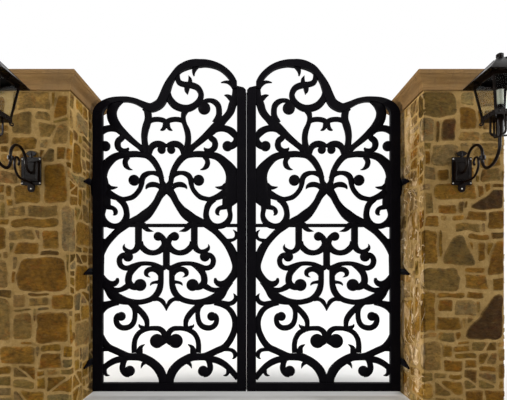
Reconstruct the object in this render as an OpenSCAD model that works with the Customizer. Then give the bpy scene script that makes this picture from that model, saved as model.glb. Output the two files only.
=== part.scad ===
// Double wrought iron driveway gate on two stone piers, with a lantern on the front of each pier.
// Millimetres, +Z up, the viewer stands on the -Y side. The origin is the centre of the left pier's base.

/* [Piers] */
// Side of the square stone piers
pier_w = 735; // [600:5:900]
// Height of the stone shaft from the ground to the cap
pier_h = 2840; // [2700:10:3000]
// Distance between the centres of the two piers
pier_pitch = 3865; // [3700:5:4100]
// Height of the moulded cap
cap_h = 160; // [120:5:200]
// How far the cap stands out past the shaft on each side
cap_out = 65; // [40:5:75]

/* [Leaves] */
// Centre plane of the gate, behind the centre of the piers
gate_y = 85; // [0:5:150]
// Gap between pier and leaf
pier_gap = 32; // [28:1:45]
// Gap between the two meeting stiles
meet_gap = 10; // [10:1:16]
// Clearance under the leaves
ground_gap = 40; // [25:5:80]
// Thickness of stiles and rails, front to back
frame_t = 50; // [40:2:60]
// Width of the hinge stile
hinge_stile_w = 98; // [80:2:110]
// Width of the meeting stile
meet_stile_w = 90; // [70:2:100]
// Height of the bottom rail
bottom_rail_h = 81; // [60:1:90]
// Height of the underside of the mid rail above the leaf's bottom edge
mid_rail_z = 1635; // [1600:1:1660]
// Height of the mid rail
mid_rail_h = 34; // [20:2:40]
// Thickness of the mid rail, front to back
mid_rail_t = 30; // [20:2:40]
// Thickness of the scrollwork
scroll_t = 16; // [12:1:24]
// Height of the leaf's straight hinge edge
hinge_edge_h = 2770; // [2740:5:2790]

/* [Hinges] */
// Heights of the three hinges above the ground
hinge_z = [327, 1232, 2125]; // [0:1:2400]
// Pin diameter
pin_d = 28; // [20:1:32]
// Wall thickness of the eye round the pin
eye_wall = 10; // [7:0.5:14]
// Height of the eye
eye_h = 60; // [40:5:80]
// Distance of the pin behind the rear face of the stile
pin_back = 36; // [32:1:45]
// Height of the pintle's foot under the eye
foot_h = 30; // [20:1:40]
// Thickness of the hinge plate on the pier
hinge_plate_t = 12; // [8:1:16]
// Length of the hinge plate along the pier
hinge_plate_l = 236; // [180:2:260]
// Height of the hinge plate at its rear end
hinge_plate_h = 62; // [40:2:90]

/* [Lanterns] */
// Height of the middle of the lantern's wall plate
lamp_z = 2122; // [1900:2:2300]
// How far the lantern sits from the pier's centre line towards the gateway
lamp_in = 26; // [0:1:80]
// Distance of the lantern's axis from the pier
lamp_reach = 537; // [480:1:600]
// Width of the wall plate
plate_w = 176; // [150:2:220]
// Height of the wall plate
plate_h = 246; // [200:2:300]
// Thickness of the wall plate
plate_t = 8; // [5:1:12]
// Diameter of the arm's round bar
arm_d = 24; // [16:1:30]
// Top of the arm above the middle of the wall plate
arm_top = 132; // [110:1:160]
// Side of the cage at its foot
cage_foot_w = 182; // [150:2:220]
// Side of the cage under the roof
cage_top_w = 256; // [220:2:300]
// Height of the glazed cage
cage_h = 238; // [200:2:280]
// Height of the gallery frame under the cage
gallery_h = 38; // [24:2:50]
// Distance between the arm's top and the gallery frame
cradle_h = 134; // [100:2:160]
// Thickness of the cage's corner bars
cage_bar = 14; // [8:1:20]
// Diameter of the candle
candle_d = 50; // [30:1:60]
// Height of the candle
candle_h = 112; // [80:2:160]
// Height of the candle's foot above the gallery frame
candle_up = 62; // [40:2:90]
// Thickness of the glass panes
pane_t = 3; // [2:0.5:5]
// Side of the roof
roof_w = 366; // [300:2:420]
// Height of the roof
roof_h = 160; // [120:2:200]

/* [Hidden] */
gate_x = pier_pitch / 2;
inner_x = pier_w / 2;
leaf_w = (pier_pitch - pier_w) / 2 - pier_gap - meet_gap / 2;
leaf_x = inner_x + pier_gap;
leaf_z = ground_gap;
field_w = leaf_w - hinge_stile_w - meet_stile_w;
// One unit of the scroll drawing across the leaf and one up the leaf
across = field_w / 134;
up = hinge_edge_h / 277;
axis_x = hinge_stile_w + 63.4 * across;
pin_x = leaf_x + hinge_stile_w / 2;
pin_y = gate_y + frame_t / 2 + pin_back;
// Radial play between pin and eye
running = 0.08;
// Lift of the eye over the pintle's foot
washer = 2;
// The furthest that any part of a leaf reaches
far = leaf_w + hinge_edge_h;

// Everything on the right is the left side mirrored about the middle of the gateway
module right_side() {
  translate([2 * gate_x, 0, 0])
    mirror([1, 0, 0])
      children();
}

// A smooth line through its points, each with its half width
function mixed(a, b, c, d, t) =
  0.5 * ((2 * b) + (c - a) * t + (2 * a - 5 * b + 4 * c - d) * t * t + (3 * b - a - 3 * c + d) * t * t * t);
function run(p, steps = 3) =
  let (n = len(p))
  [for (i = [0:n - 2], k = [0:steps - 1])
    mixed(p[max(i - 1, 0)], p[i], p[i + 1], p[min(i + 2, n - 1)], k / steps), p[n - 1]];
function heading(q, i) =
  let (n = len(q), d = q[min(i + 1, n - 1)] - q[max(i - 1, 0)], l = norm([d[0], d[1]]))
  [d[0] / l, d[1] / l];
function edge(q, side) =
  [for (i = [0:len(q) - 1])
    let (h = heading(q, i), w = side * q[i][2])
    [q[i][0] - h[1] * w, q[i][1] + h[0] * w]];
function backwards(a) = [for (i = [len(a) - 1:-1:0]) a[i]];
function bar_outline(p) = let (q = run(p)) concat(edge(q, 1), backwards(edge(q, -1)));
// From the scroll drawing to the leaf
function place(c) = [axis_x + across * c[0], up * c[1]];

module bar(p) {
  polygon([for (c = bar_outline(p)) place(c)]);
}
module ball(c) {
  translate(place(c))
    circle(r = up * c[2], $fn = 48);
}
module both_halves() {
  children();
  translate([2 * axis_x, 0])
    mirror([1, 0])
      children();
}

// The scroll drawing: each bar is a line of [across, up, half width], from the motif's axis
// and the leaf's bottom edge
// Top rail, from the hinge side over the shoulder and the crown to the meeting stile
rail_line = [[-68.3, 272, 4.9], [-68, 278, 4.8], [-65.3, 283.2, 4.2], [-60, 287.3, 3.5], [-53.5, 289.9, 2.9],
  [-47, 290.9, 2.5], [-39, 291.1, 2.3], [-31, 289.4, 2.5], [-24, 286.2, 3], [-16.3, 282.8, 4],
    [-10.8, 284.2, 4.3],
  [-5.8, 287.8, 4.4], [-2.4, 294.3, 4.4], [0.3, 301.3, 4.2], [3, 307.8, 3.5], [6.8, 314, 3],
    [12.1, 320.4, 3.2],
  [16.7, 323.4, 3.5], [22.4, 325.7, 3.8], [28.6, 326.9, 3.8], [34, 327.1, 3.5], [39.1, 327.2, 3.2],
  [46, 326, 3], [53, 323.4, 2.8], [59, 319.3, 2.8], [64.2, 313.9, 2.9], [67.9, 307.5, 2.9], [69.5, 302, 2.9]];

// Bars of the motif that stand on both sides of its axis, from the crossing outwards
paired_upper = [
  [[0, 200, 3.5], [1.8, 204, 3.6], [4.3, 208.7, 2.6], [5.5, 214.7, 2.7], [7.4, 220.4, 2.9],
    [10.8, 226.7, 3.1],
    [14.9, 231.9, 3.3], [19.6, 235.2, 3.2], [25.1, 235.9, 2.8], [30.6, 236.6, 3.1], [38.1, 236.2, 3.2],
    [45.6, 235.5, 3.4],
    [52.2, 233.2, 3.8], [58.1, 228.2, 4.5], [63.1, 222.2, 5.7], [66.6, 214.7, 7.4], [67.6, 206.7, 9],
    [66.6, 198.7, 9],
    [63.5, 191.5, 8], [60.5, 185.5, 4], [57, 183.6, 2.6], [53.5, 182.6, 2.2], [51.3, 180.6, 2.2],
    [50.9, 178, 2.2],
    [51.9, 176.2, 1.2], [53.3, 175.6, 0.3]],
  [[0, 205, 4.5], [3, 200, 4.4], [6.8, 194.7, 3.6], [9.9, 188.7, 3.4], [14.8, 181.6, 4.1], [20, 176.3, 5.2],
    [26.5, 171.8, 5], [34.2, 169.6, 3.2], [41.6, 164.6, 3.3]],
  [[4, 212, 2.5], [7, 215.5, 2.5], [10.5, 217.3, 2.4], [14.5, 217.8, 2], [18.5, 217.2, 2.4], [22.2, 215, 2.8],
    [24.2, 211.5, 2.8], [24.8, 207, 2.6], [26, 202.8, 2.3], [27.8, 199.6, 2.4], [30.8, 196, 2.4],
    [34.5, 193.3, 2.5],
    [39.2, 192, 2.3], [44, 191.3, 2.6], [50, 193.3, 3], [56, 196, 4], [61, 199, 4.5]],
  [[3, 199.5, 3], [6.5, 204, 2.6], [11, 206, 2.6], [15.5, 206, 2.6], [19, 204.3, 1.8], [20.7, 201.5, 0.2]],
  [[38, 234, 2.2], [40.6, 231, 2.5], [41.2, 227.5, 2.6], [39.9, 224.2, 2.4], [37, 221.8, 1.3],
    [33.8, 220.9, 0.2]],
  [[0.6, 243, 3], [3.6, 245.6, 3], [7.6, 246.7, 3.2], [11.8, 246, 3.2], [15, 243.4, 3.1],
    [16.6, 239.5, 2.8], [18, 235, 3]],
  [[52.5, 269, 3], [47.5, 262, 4.4], [40.9, 255.9, 3.6], [35.7, 251.2, 3.2], [30.7, 247, 2.9],
    [26.7, 243.8, 2.9], [21.5, 239.5, 4]],
  [[43, 257.5, 2], [44.4, 253, 2.9], [47.8, 250, 3], [48.8, 246, 3.1], [47.3, 242, 2.9], [43, 240, 2.2],
    [39, 241, 1.6], [37.8, 243, 0.5]],
  [[44, 259, 3.5], [50, 262, 3.5], [56, 262.4, 3.2], [61.5, 261.2, 3.3], [66.3, 258.2, 3.6], [69.8, 253.5, 3],
    [70, 249.5, 3.4], [67.5, 246, 3.4], [63, 244, 3.4]],
  [[1.2, 270.4, 2.2], [1.6, 266, 2], [2.2, 263, 2], [4, 261.2, 1.4], [6.1, 260.3, 0.3]],
  [[0.4, 268.8, 2.2], [3, 270.3, 2.4], [7, 271.2, 2.4], [11.5, 271.2, 2.4], [16, 270, 2.4], [18.5, 267, 2.3]],
  [[22, 283, 3], [18.3, 278.7, 3], [17, 274.5, 2.5], [17.3, 270, 2.4], [18.6, 265.5, 2.5], [20.8, 260, 3],
    [21.8, 254, 3], [21.6, 248, 3.1], [20.5, 241, 3.6], [18.5, 235, 3]],
  [[47.5, 192, 3.4], [44, 188.5, 3], [41.2, 184.2, 3], [39.9, 179, 2.8], [39.8, 174.5, 3.1],
    [41.5, 169.5, 3.4],
    [46, 165.5, 3], [52, 164.3, 2.9], [58, 166, 3.2], [62.3, 170.2, 3], [63.9, 175.5, 2.5],
    [63.1, 180.5, 2.6], [62.5, 186, 3.5]],
  [[27.9, 172, 3.4], [27.9, 166, 3.4], [27.9, 160, 3.4]],
  [[60, 205, 3.4], [56, 203, 2.2], [52, 203, 1.3], [48.8, 203.7, 0.3]],
  [[60.5, 196, 4], [58.6, 190, 2.8], [58.8, 184, 3]],
];
paired_upper_balls = [[32.3, 210.4, 5.5], [4.8, 240.9, 4.1], [61.1, 244.5, 5.1]];

// Crown ring and the scrolls under the crown, on the meeting side only
crown_bars = [
  [[1.2, 306, 2.9], [1, 300, 3.2], [2.1, 294, 3.5], [4.6, 289.5, 3.7], [8.8, 285.2, 3.8], [14.9, 282.6, 3.7],
    [21.5, 282.2, 3.6], [27, 284.3, 3.3], [31.4, 288, 3], [34.2, 292.4, 2.9], [34.5, 297.3, 2.9],
    [31.8, 302.2, 3],
    [27.6, 304.6, 3.1], [22.5, 305.7, 3], [17.4, 306.3, 2.7], [12.9, 308.2, 2.8], [11.2, 312.4, 2.6],
    [10.4, 317, 3]],
  [[23.5, 306, 2.4], [23.8, 310.5, 2], [23, 313.2, 1], [22.1, 315, 0.1]],
  [[20.8, 304.5, 2.8], [20.4, 300.2, 2.4], [20.9, 297.8, 1.2], [21.2, 296, 0.1]],
  [[31, 325.5, 2.8], [28.3, 321.8, 2.4], [27.2, 318, 1.5], [27.6, 314.8, 0.7]],
  [[36, 286.5, 2.6], [39.3, 289.5, 2.2], [43.5, 290.2, 2.1], [48, 288.8, 2.7], [51.6, 285.2, 3],
    [52.7, 280, 3],
    [52.3, 274, 3.2], [49.5, 267.5, 4]],
  [[69.4, 303, 3.2], [69, 293, 4], [66.2, 286, 4.1], [64.4, 280, 3.9], [61.6, 275.5, 3.6], [57.8, 271.3, 3.6],
    [53.4, 267, 4.5], [47.5, 261.5, 4.4]],
  [[69, 303, 3.5], [65.8, 306.3, 2.6], [61.5, 308.4, 1.6], [58, 308.6, 1], [54.5, 308, 0.2]],
  [[68, 289, 3.5], [63.8, 292.8, 2.6], [60.6, 294.8, 1.5], [57.8, 295.4, 0.1]],
];
crown_balls = [[37.8, 282.3, 6.2]];

// The loop under the shoulder, on the hinge side only
shoulder_bars = [
  [[-21, 283, 2.4], [-19.4, 277, 2.6], [-19.4, 271, 2.4], [-21.4, 264, 2.6], [-22.6, 256, 2.6],
    [-22.2, 249, 2.6], [-21, 242, 3]],
  [[-44, 290.6, 2.4], [-50.5, 286.5, 4.2], [-54.2, 280.5, 4.9], [-54.4, 274.5, 5], [-52.5, 269, 5],
    [-48, 262.5, 4.6], [-41, 256, 3.6]],
];

// Bars below the mid rail that stand on both sides of the axis
paired_lower = [
  [[23.8, 168, 3.4], [22, 164, 2.8], [18.4, 160.7, 2], [12.9, 159.3, 0.2]],
  [[0, 51.5, 3.2], [4, 48.4, 3], [8, 45.4, 2.2]],
  [[34.2, 169.6, 3.2], [41.6, 164.6, 3.3], [48.6, 159.7, 3.3], [53.6, 154.8, 3.3], [58.6, 149.3, 3.5],
    [62.8, 144.2, 4.2],
    [66.2, 137.7, 4.4], [68.8, 130.7, 4.4], [69.9, 124.5, 4.2], [68.8, 118.5, 4.2], [65.6, 113.4, 4],
    [61.5, 109, 3.8],
    [57, 106.8, 3.4], [52.5, 106.9, 3], [49.4, 109.4, 2.2], [48.9, 112.8, 1]],
  [[27.9, 166, 3.4], [27.9, 158, 3.4], [27.9, 150, 3.4], [28.1, 146, 3.3], [30, 141.6, 2.9], [34, 139, 2.4],
    [38.6, 139.5, 2.3], [41.8, 142, 1.8], [42.5, 144.4, 1], [41.8, 146.8, 0.1]],
  [[7, 156, 2.6], [4, 152.8, 3], [2, 149, 3], [2.2, 145.5, 3], [4.3, 142, 3.1], [7.6, 139.4, 2.9],
    [11.5, 138, 2.7], [15.5, 138, 2.8],
    [19.3, 139.2, 2.9], [22.7, 141.8, 3], [25.4, 145, 3], [26.5, 149, 3]],
  [[0, 149, 3.4], [0, 136, 3.4], [0, 123.5, 3.4]],
  [[0, 124.8, 2.4], [4, 122.5, 2.8], [8, 123.9, 2.8], [13, 126.4, 2.3], [20.5, 127.3, 2.2],
    [27, 126.6, 2.4], [32.5, 124.6, 2.8],
    [38, 122.7, 2.7], [42.5, 123, 2.6], [45.8, 125.5, 2.7], [47, 129.5, 2.7], [46.3, 132.8, 2.6],
    [43.5, 135.6, 2.5], [39.5, 136.5, 2]],
  [[5, 123, 2.5], [5.4, 118, 2.7], [5.5, 113, 2.8], [5.6, 107.5, 2.8], [6.5, 103, 3.1], [8, 99, 3.2],
    [10.8, 95, 3.1],
    [14.8, 91.9, 2.8], [19.3, 90, 2.7], [26, 88.6, 2.7], [32, 88.5, 2.9], [38, 89.2, 3.4], [44, 90.6, 4.4],
    [50, 93, 5.2],
    [54.4, 96.4, 4.8], [57.6, 101, 4], [61, 105.2, 3.2], [64.5, 109.5, 3]],
  [[6, 116.5, 2.8], [8.6, 119.6, 2.8], [12.6, 121.5, 2.8], [16.8, 121.2, 2.7], [19.8, 119.1, 2.5],
    [20, 116.2, 2],
    [18.4, 114.4, 1], [16.1, 113.4, 0.2]],
  [[6.5, 108.6, 2.4], [10.5, 108.5, 1.6], [13.6, 107.8, 1.4], [15.4, 106.5, 0.9], [15.9, 105, 0.2]],
  [[25, 127, 2], [29.5, 124.9, 2.9], [33.6, 121.3, 3.2], [36.6, 117.2, 3.2], [37.8, 113, 3.3],
    [37.8, 109, 3.4],
    [36, 105.7, 3.5], [32, 103.6, 3.2], [27, 103.8, 3]],
  [[36, 106.5, 3.3], [41, 103.2, 2.9], [46, 100.9, 2.5], [52, 100.3, 3], [58, 101.5, 4]],
  [[13, 91.5, 2.2], [9, 91.8, 2.1], [5.6, 90.6, 2.1], [3, 88.2, 2.1], [1.2, 84.6, 1.4], [0, 79.8, 0.2]],
  [[48, 88.5, 3], [54, 87, 3], [58.8, 84.6, 2.7], [62, 82.3, 2.6], [65.3, 78.5, 2.8], [68, 72.5, 2.9],
    [68.8, 66, 3.1],
    [67.8, 60, 3.2], [65.5, 54, 3.3], [62.2, 48.3, 3.3], [57.5, 43.2, 3.4], [50.6, 40, 3.3], [44, 36.9, 3.3],
    [38.5, 34.3, 3.6], [33, 33.9, 3.5], [25.5, 33.7, 4], [18.5, 30.6, 4.2], [12, 26.2, 4.3],
    [6.6, 20, 4.6], [3.4, 12, 4.3],
    [3.2, 6, 4.3]],
  [[54, 88, 2.6], [58.5, 87.4, 2.4], [63, 87, 2.3], [67, 88.6, 2.4], [69.2, 92, 2.2], [68.4, 95.4, 1.2],
    [66.8, 97.2, 0.2]],
  [[60, 149.5, 2.5], [64, 150.3, 1.9], [68, 151.6, 1.6], [70.2, 155, 1.9], [68.9, 158.8, 1.2],
    [66.4, 161, 0.1]],
  [[37.5, 89, 3], [33, 85.6, 3], [27.5, 81, 2.9], [22.8, 75.8, 3], [20, 71, 2.7], [19.3, 66, 2.3],
    [20, 61.5, 2.5]],
  [[36, 88, 3], [32.8, 83.5, 2.4], [31.4, 79, 2.4], [31.4, 75, 2.4], [31.9, 71, 2.5], [33.5, 67, 2.6],
    [36.4, 64.2, 2.7],
    [40.5, 62.9, 2.8], [45, 63.2, 2.7], [48.6, 65.8, 2.7], [50.1, 69.5, 2.6], [49.8, 73.5, 2.6],
    [47.5, 76.1, 2.4]],
  [[2, 50, 2.5], [1.5, 54.5, 2.8], [3.2, 59, 2.8], [7, 61.9, 2.6], [11, 62.4, 2.4], [16, 62.3, 2.3],
    [21, 61.2, 2.4],
    [25, 59.4, 2.5], [28.3, 56.7, 2.5], [31.2, 51.5, 2.5], [32.2, 45, 2.6], [31.8, 38, 2.8]],
  [[27, 35, 3], [26.7, 39.6, 3], [25.5, 43.6, 2], [21.5, 46.4, 0.2]],
  [[22, 62, 2.4], [24.6, 63.3, 2], [26.8, 64.8, 1.1], [27.4, 66.8, 0.2]],
  [[40.6, 35, 2.8], [42, 31, 2.8], [43.3, 27, 2.8], [43.9, 23, 2.9], [43, 19.4, 2.8], [40.4, 16.8, 2.8],
    [37.2, 16.4, 2.8]],
  [[36, 34.3, 3], [43, 32, 3.2], [49.8, 30.6, 3.2], [56, 27.8, 3.1], [61.6, 23.6, 2.9], [66.5, 18.3, 2.8],
    [71.5, 12.4, 2.8]],
  [[62, 22.5, 2.4], [61.6, 18.4, 1.9], [60, 15.8, 1.3], [56.9, 15.2, 0.2]],
  [[20, 29.5, 2.5], [23.6, 26.6, 1.6], [25.3, 22.4, 0.2]],
  [[54, 41.5, 2.2], [60.5, 41.4, 1.9], [65.5, 40.5, 1.9], [68.2, 38, 2.2], [68.6, 35, 2.1],
    [67.2, 32.7, 1], [65.6, 31.8, 0.1]],
];
paired_lower_balls = [[8.2, 154.3, 4.5], [38.4, 134, 5], [26.2, 105.7, 6.1], [45.3, 74.3, 4.5],
  [9.3, 49.7, 7.1], [36.8, 19.7, 5.2]];

// Region between the stiles from one height to another
module between_stiles(z0, z1) {
  translate([hinge_stile_w, z0])
    square([field_w, z1 - z0]);
}
// Region under the top rail's centre line
module under_rail() {
  q = [for (p = run(rail_line)) place(p)];
  polygon(concat([[0, 0]], q, [[leaf_w, q[len(q) - 1][1]], [leaf_w, 0]]));
}
module rail_2d() {
  difference() {
    bar(rail_line);
    translate([leaf_w - meet_stile_w, 0])
      square([far, far]);
    translate([-far, 0])
      square([far + axis_x, hinge_edge_h]);
  }
}
module upper_scrolls_2d() {
  difference() {
    intersection() {
      union() {
        both_halves() {
          for (b = paired_upper)
            bar(b);
          for (b = paired_upper_balls)
            ball(b);
        }
        for (b = crown_bars)
          bar(b);
        for (b = crown_balls)
          ball(b);
        for (b = shoulder_bars)
          bar(b);
      }
      between_stiles(mid_rail_z + mid_rail_h, far);
      under_rail();
    }
    bar(rail_line);
  }
}
module lower_scrolls_2d() {
  intersection() {
    both_halves() {
      for (b = paired_lower)
        bar(b);
      for (b = paired_lower_balls)
        ball(b);
    }
    between_stiles(bottom_rail_h, mid_rail_z);
  }
}

module leaf_piece(t) {
  translate([leaf_x, gate_y + t / 2, leaf_z])
    rotate([90, 0, 0])
      linear_extrude(t)
        children();
}

module hinge_stile() {
  color("#1c1c1e")
    leaf_piece(frame_t)
      square([hinge_stile_w, hinge_edge_h]);
}
module meeting_stile() {
  shoulder = 300 * up;
  color("#1c1c1e")
    leaf_piece(frame_t)
      translate([leaf_w - meet_stile_w, 0])
        polygon([[0, 0], [meet_stile_w, 0], [meet_stile_w, shoulder],
          [0.75 * meet_stile_w, shoulder + 2.4 * up], [0, shoulder + 4 * up]]);
}
module bottom_rail() {
  color("#1c1c1e")
    leaf_piece(frame_t)
      between_stiles(0, bottom_rail_h);
}
module mid_rail() {
  color("#1c1c1e")
    leaf_piece(mid_rail_t)
      between_stiles(mid_rail_z, mid_rail_z + mid_rail_h);
}
module top_rail() {
  color("#1c1c1e")
    leaf_piece(frame_t)
      rail_2d();
}
module upper_scrolls() {
  color("#242426")
    leaf_piece(scroll_t)
      upper_scrolls_2d();
}
module lower_scrolls() {
  color("#242426")
    leaf_piece(scroll_t)
      lower_scrolls_2d();
}

// Hinge eyes on the rear of the stile and the pintles they turn on
module hinge_eyes() {
  r = pin_d / 2;
  neck = 0.8 * (r + eye_wall);
  color("#1c1c1e")
    for (z = hinge_z)
      translate([pin_x, pin_y, z])
        difference() {
          union() {
            cylinder(r = r + eye_wall, h = eye_h, $fn = 64);
            translate([-neck, -pin_back, 0])
              cube([2 * neck, pin_back, eye_h]);
          }
          translate([0, 0, -1])
            cylinder(r = r + running, h = eye_h + 2, $fn = 64);
        }
}
module pintles() {
  r = pin_d / 2;
  arm = 0.65 * (r + eye_wall);
  color("#1c1c1e")
    for (z = hinge_z)
      translate([0, 0, z - foot_h - washer]) {
        translate([pin_x, pin_y, 0])
          cylinder(r = r, h = eye_h + foot_h + washer + pin_d / 4, $fn = 64);
        translate([pin_x, pin_y, 0])
          cylinder(r = r + eye_wall, h = foot_h, $fn = 64);
        translate([inner_x, pin_y - arm, 0])
          cube([pin_x - inner_x, 2 * arm, foot_h]);
        translate([inner_x + hinge_plate_t, pin_y + arm, 0])
          rotate([90, 0, -90])
            linear_extrude(hinge_plate_t)
              polygon([[0, 0], [hinge_plate_l, 0], [hinge_plate_l, hinge_plate_h / 5],
                [hinge_plate_l / 2, hinge_plate_h], [0, hinge_plate_h]]);
      }
}

// Piers
module pier_shaft() {
  color("#a08c6c")
    translate([-pier_w / 2, -pier_w / 2, 0])
      cube([pier_w, pier_w, pier_h]);
}
// Cap profile: bed mould, a wave moulding that swings out by half a cosine, and a plain fascia
module cap_profile() {
  w = pier_w / 2;
  bed_h = 0.27 * cap_h;
  wave_h = 0.47 * cap_h;
  bed_out = 0.2 * cap_out;
  wave_out = 0.7 * cap_out;
  steps = 10;
  wave = [for (k = [0:steps])
    [w + bed_out + wave_out * (1 - cos(180 * k / steps)) / 2, bed_h + wave_h * k / steps]];
  right = concat([[w + bed_out, 0]], wave, [[w + cap_out, bed_h + wave_h], [w + cap_out, cap_h]]);
  polygon(concat(right, [for (p = backwards(right)) [-p[0], p[1]]]));
}
module pier_cap() {
  half = pier_w / 2 + cap_out;
  color("#8a745c")
    translate([0, 0, pier_h])
      intersection() {
        translate([0, half, 0])
          rotate([90, 0, 0])
            linear_extrude(2 * half)
              cap_profile();
        rotate([0, 0, 90])
          translate([0, half, 0])
            rotate([90, 0, 0])
              linear_extrude(2 * half)
                cap_profile();
      }
}

// Lanterns, drawn from the middle of the wall plate's back, reaching towards -Y
module on_pier() {
  translate([lamp_in, -pier_w / 2, lamp_z])
    children();
}
module at_lamp(z) {
  on_pier()
    translate([0, -lamp_reach, z])
      children();
}
arm_r = arm_d / 2;
gallery_z = arm_top + cradle_h;
cage_z = gallery_z + gallery_h;
eave_z = cage_z + cage_h;

// Wall plate with a pointed leaf above and a round tab below
module lantern_backplate() {
  housing_w = 0.78 * plate_w;
  housing_h = 0.72 * plate_h;
  housing_t = 2.2 * plate_t;
  leaf_r = 0.34 * plate_w;
  leaf_up = 0.135 * plate_h;
  tab_r = 0.18 * plate_w;
  color("#1c1c1e")
    on_pier()
      rotate([90, 0, 0]) {
        linear_extrude(plate_t) {
          translate([-plate_w / 2, -plate_h / 2])
            square([plate_w, plate_h]);
          translate([-plate_w / 14, plate_h / 2])
            square([plate_w / 7, leaf_up]);
          translate([0, plate_h / 2 + leaf_up])
            intersection() {
              translate([0, -leaf_r / 1.7])
                circle(r = leaf_r, $fn = 72);
              translate([0, leaf_r / 1.7])
                circle(r = leaf_r, $fn = 72);
            }
          translate([-tab_r, -plate_h / 2 - tab_r])
            square([2 * tab_r, tab_r]);
          translate([0, -plate_h / 2 - tab_r])
            circle(r = tab_r, $fn = 72);
        }
        translate([-housing_w / 2, -housing_h / 2, plate_t])
          cube([housing_w, housing_h, housing_t]);
      }
}
// Quarter or larger piece of a round bar bent about a centre, from one angle over a sweep
module bend(centre, radius, from, sweep, bar_r) {
  translate([centre[0], centre[1], 0])
    rotate([0, 0, from])
      rotate_extrude(angle = sweep, $fn = 96)
        translate([radius, 0])
          circle(r = bar_r, $fn = 32);
}
// Turns a shape drawn in the plane of reach and height into the plane of the arm
module arm_plane() {
  on_pier()
    rotate([0, 0, -90])
      rotate([90, 0, 0])
        children();
}
module lantern_arm() {
  root = plate_t + 2.2 * plate_t;
  big = 0.208 * lamp_reach;
  small = 0.142 * lamp_reach;
  last = 0.27 * lamp_reach;
  collar_x = lamp_reach - last - small;
  arch_x = collar_x - big;
  arch_z = 0.4 * arm_top;
  dip_z = 0.08 * arm_top;
  foot_r = arch_x - big - root;
  color("#1c1c1e")
    arm_plane() {
      bend([root, arch_z], foot_r, -90, 90, arm_r);
      bend([arch_x, arch_z], big, 0, 180, arm_r);
      translate([collar_x, dip_z, 0])
        rotate([-90, 0, 0])
          cylinder(r = arm_r, h = arch_z - dip_z, $fn = 32);
      bend([collar_x + small, dip_z], small, 180, 90, arm_r);
      bend([lamp_reach - last, dip_z - small + last], last, -90, 90, arm_r);
      translate([lamp_reach, dip_z - small + last, 0])
        rotate([-90, 0, 0])
          cylinder(r = arm_r, h = arm_top - dip_z + small - last, $fn = 32);
      translate([collar_x, (arch_z + dip_z) / 2 - arm_d * 0.6, 0])
        rotate([-90, 0, 0])
          cylinder(r = arm_d, h = arm_d * 1.2, $fn = 64);
    }
}
// Scroll bracket under the arm, curled inwards at its upper end
module lantern_scroll() {
  root = plate_t;
  belly = 0.2 * lamp_reach;
  curl = 0.06 * lamp_reach;
  bar_r = 0.8 * arm_r;
  x = 0.285 * lamp_reach;
  z = -0.46 * plate_h + belly + bar_r;
  color("#1c1c1e")
    arm_plane() {
      translate([root, z - belly, 0])
        rotate([0, 90, 0])
          cylinder(r = bar_r, h = x - root, $fn = 32);
      bend([x, z], belly, -90, 110, bar_r);
      bend([x + (belly - curl) * cos(20), z + (belly - curl) * sin(20)], curl, 20, 210, bar_r);
    }
}
// Central cup on the arm's top with four straps bent up to the gallery frame
module lantern_cradle() {
  cup_r = 1.15 * arm_d;
  strap = cage_bar * 0.8;
  out = 0.42 * cage_foot_w;
  bend_r = 0.24 * cradle_h;
  color("#1c1c1e")
    at_lamp(arm_top) {
      cylinder(r = cup_r, h = cradle_h, $fn = 64);
      for (a = [0:90:270])
        rotate([0, 0, a]) {
          translate([cup_r - 2, -strap / 2, 0])
            cube([out - bend_r - cup_r + 2, strap, strap]);
          translate([out - bend_r, strap / 2, bend_r])
            rotate([90, 0, 0])
              rotate([0, 0, -90])
                strap_corner(bend_r, strap);
          translate([out - strap, -strap / 2, bend_r])
            cube([strap, strap, cradle_h - bend_r]);
        }
    }
}
// Flat quarter ring, as thick as it is wide
module strap_corner(outer, width) {
  linear_extrude(width)
    intersection() {
      difference() {
        circle(r = outer, $fn = 64);
        circle(r = outer - width, $fn = 64);
      }
      square([outer, outer]);
    }
}
module frame_ring(outer, inner, h) {
  difference() {
    translate([-outer / 2, -outer / 2, 0])
      cube([outer, outer, h]);
    translate([-inner / 2, -inner / 2, -1])
      cube([inner, inner, h + 2]);
  }
}
// Corner bar leaning outwards from the gallery frame to the roof
module corner_bar() {
  foot = cage_foot_w / 2 - cage_bar;
  head = cage_top_w / 2 - cage_bar;
  hull() {
    translate([foot, foot, cage_z])
      cube([cage_bar, cage_bar, 0.01]);
    translate([head, head, eave_z - 0.01])
      cube([cage_bar, cage_bar, 0.01]);
  }
}
module lantern_cage() {
  plate = gallery_h * 0.2;
  color("#1c1c1e")
    at_lamp(0) {
      translate([-cage_foot_w / 2, -cage_foot_w / 2, gallery_z])
        cube([cage_foot_w, cage_foot_w, plate]);
      translate([0, 0, gallery_z + plate])
        frame_ring(cage_foot_w, cage_foot_w - 2 * cage_bar, gallery_h - plate);
      for (a = [0:90:270])
        rotate([0, 0, a])
          corner_bar();
      translate([0, 0, eave_z])
        frame_ring(cage_top_w, cage_top_w - 2 * cage_bar, cage_bar);
      translate([0, 0, gallery_z + plate])
        cylinder(r = candle_d / 4, h = cage_z + candle_up - gallery_z - plate - candle_d / 2, $fn = 48);
      translate([0, 0, cage_z + candle_up - candle_d / 2])
        cylinder(r = candle_d * 0.56, h = candle_d / 2, $fn = 64);
    }
}
// Four leaning panes between the corner bars
module lantern_glass() {
  foot = cage_foot_w / 2 - cage_bar;
  head = cage_top_w / 2 - cage_bar;
  set = (cage_bar - pane_t) / 2;
  color("#cfe0e6")
    at_lamp(0)
      for (a = [0:90:270])
        rotate([0, 0, a])
          hull() {
            translate([-foot, foot + set, cage_z])
              cube([2 * foot, pane_t, 0.01]);
            translate([-head, head + set, eave_z - 0.01])
              cube([2 * head, pane_t, 0.01]);
          }
}
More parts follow.
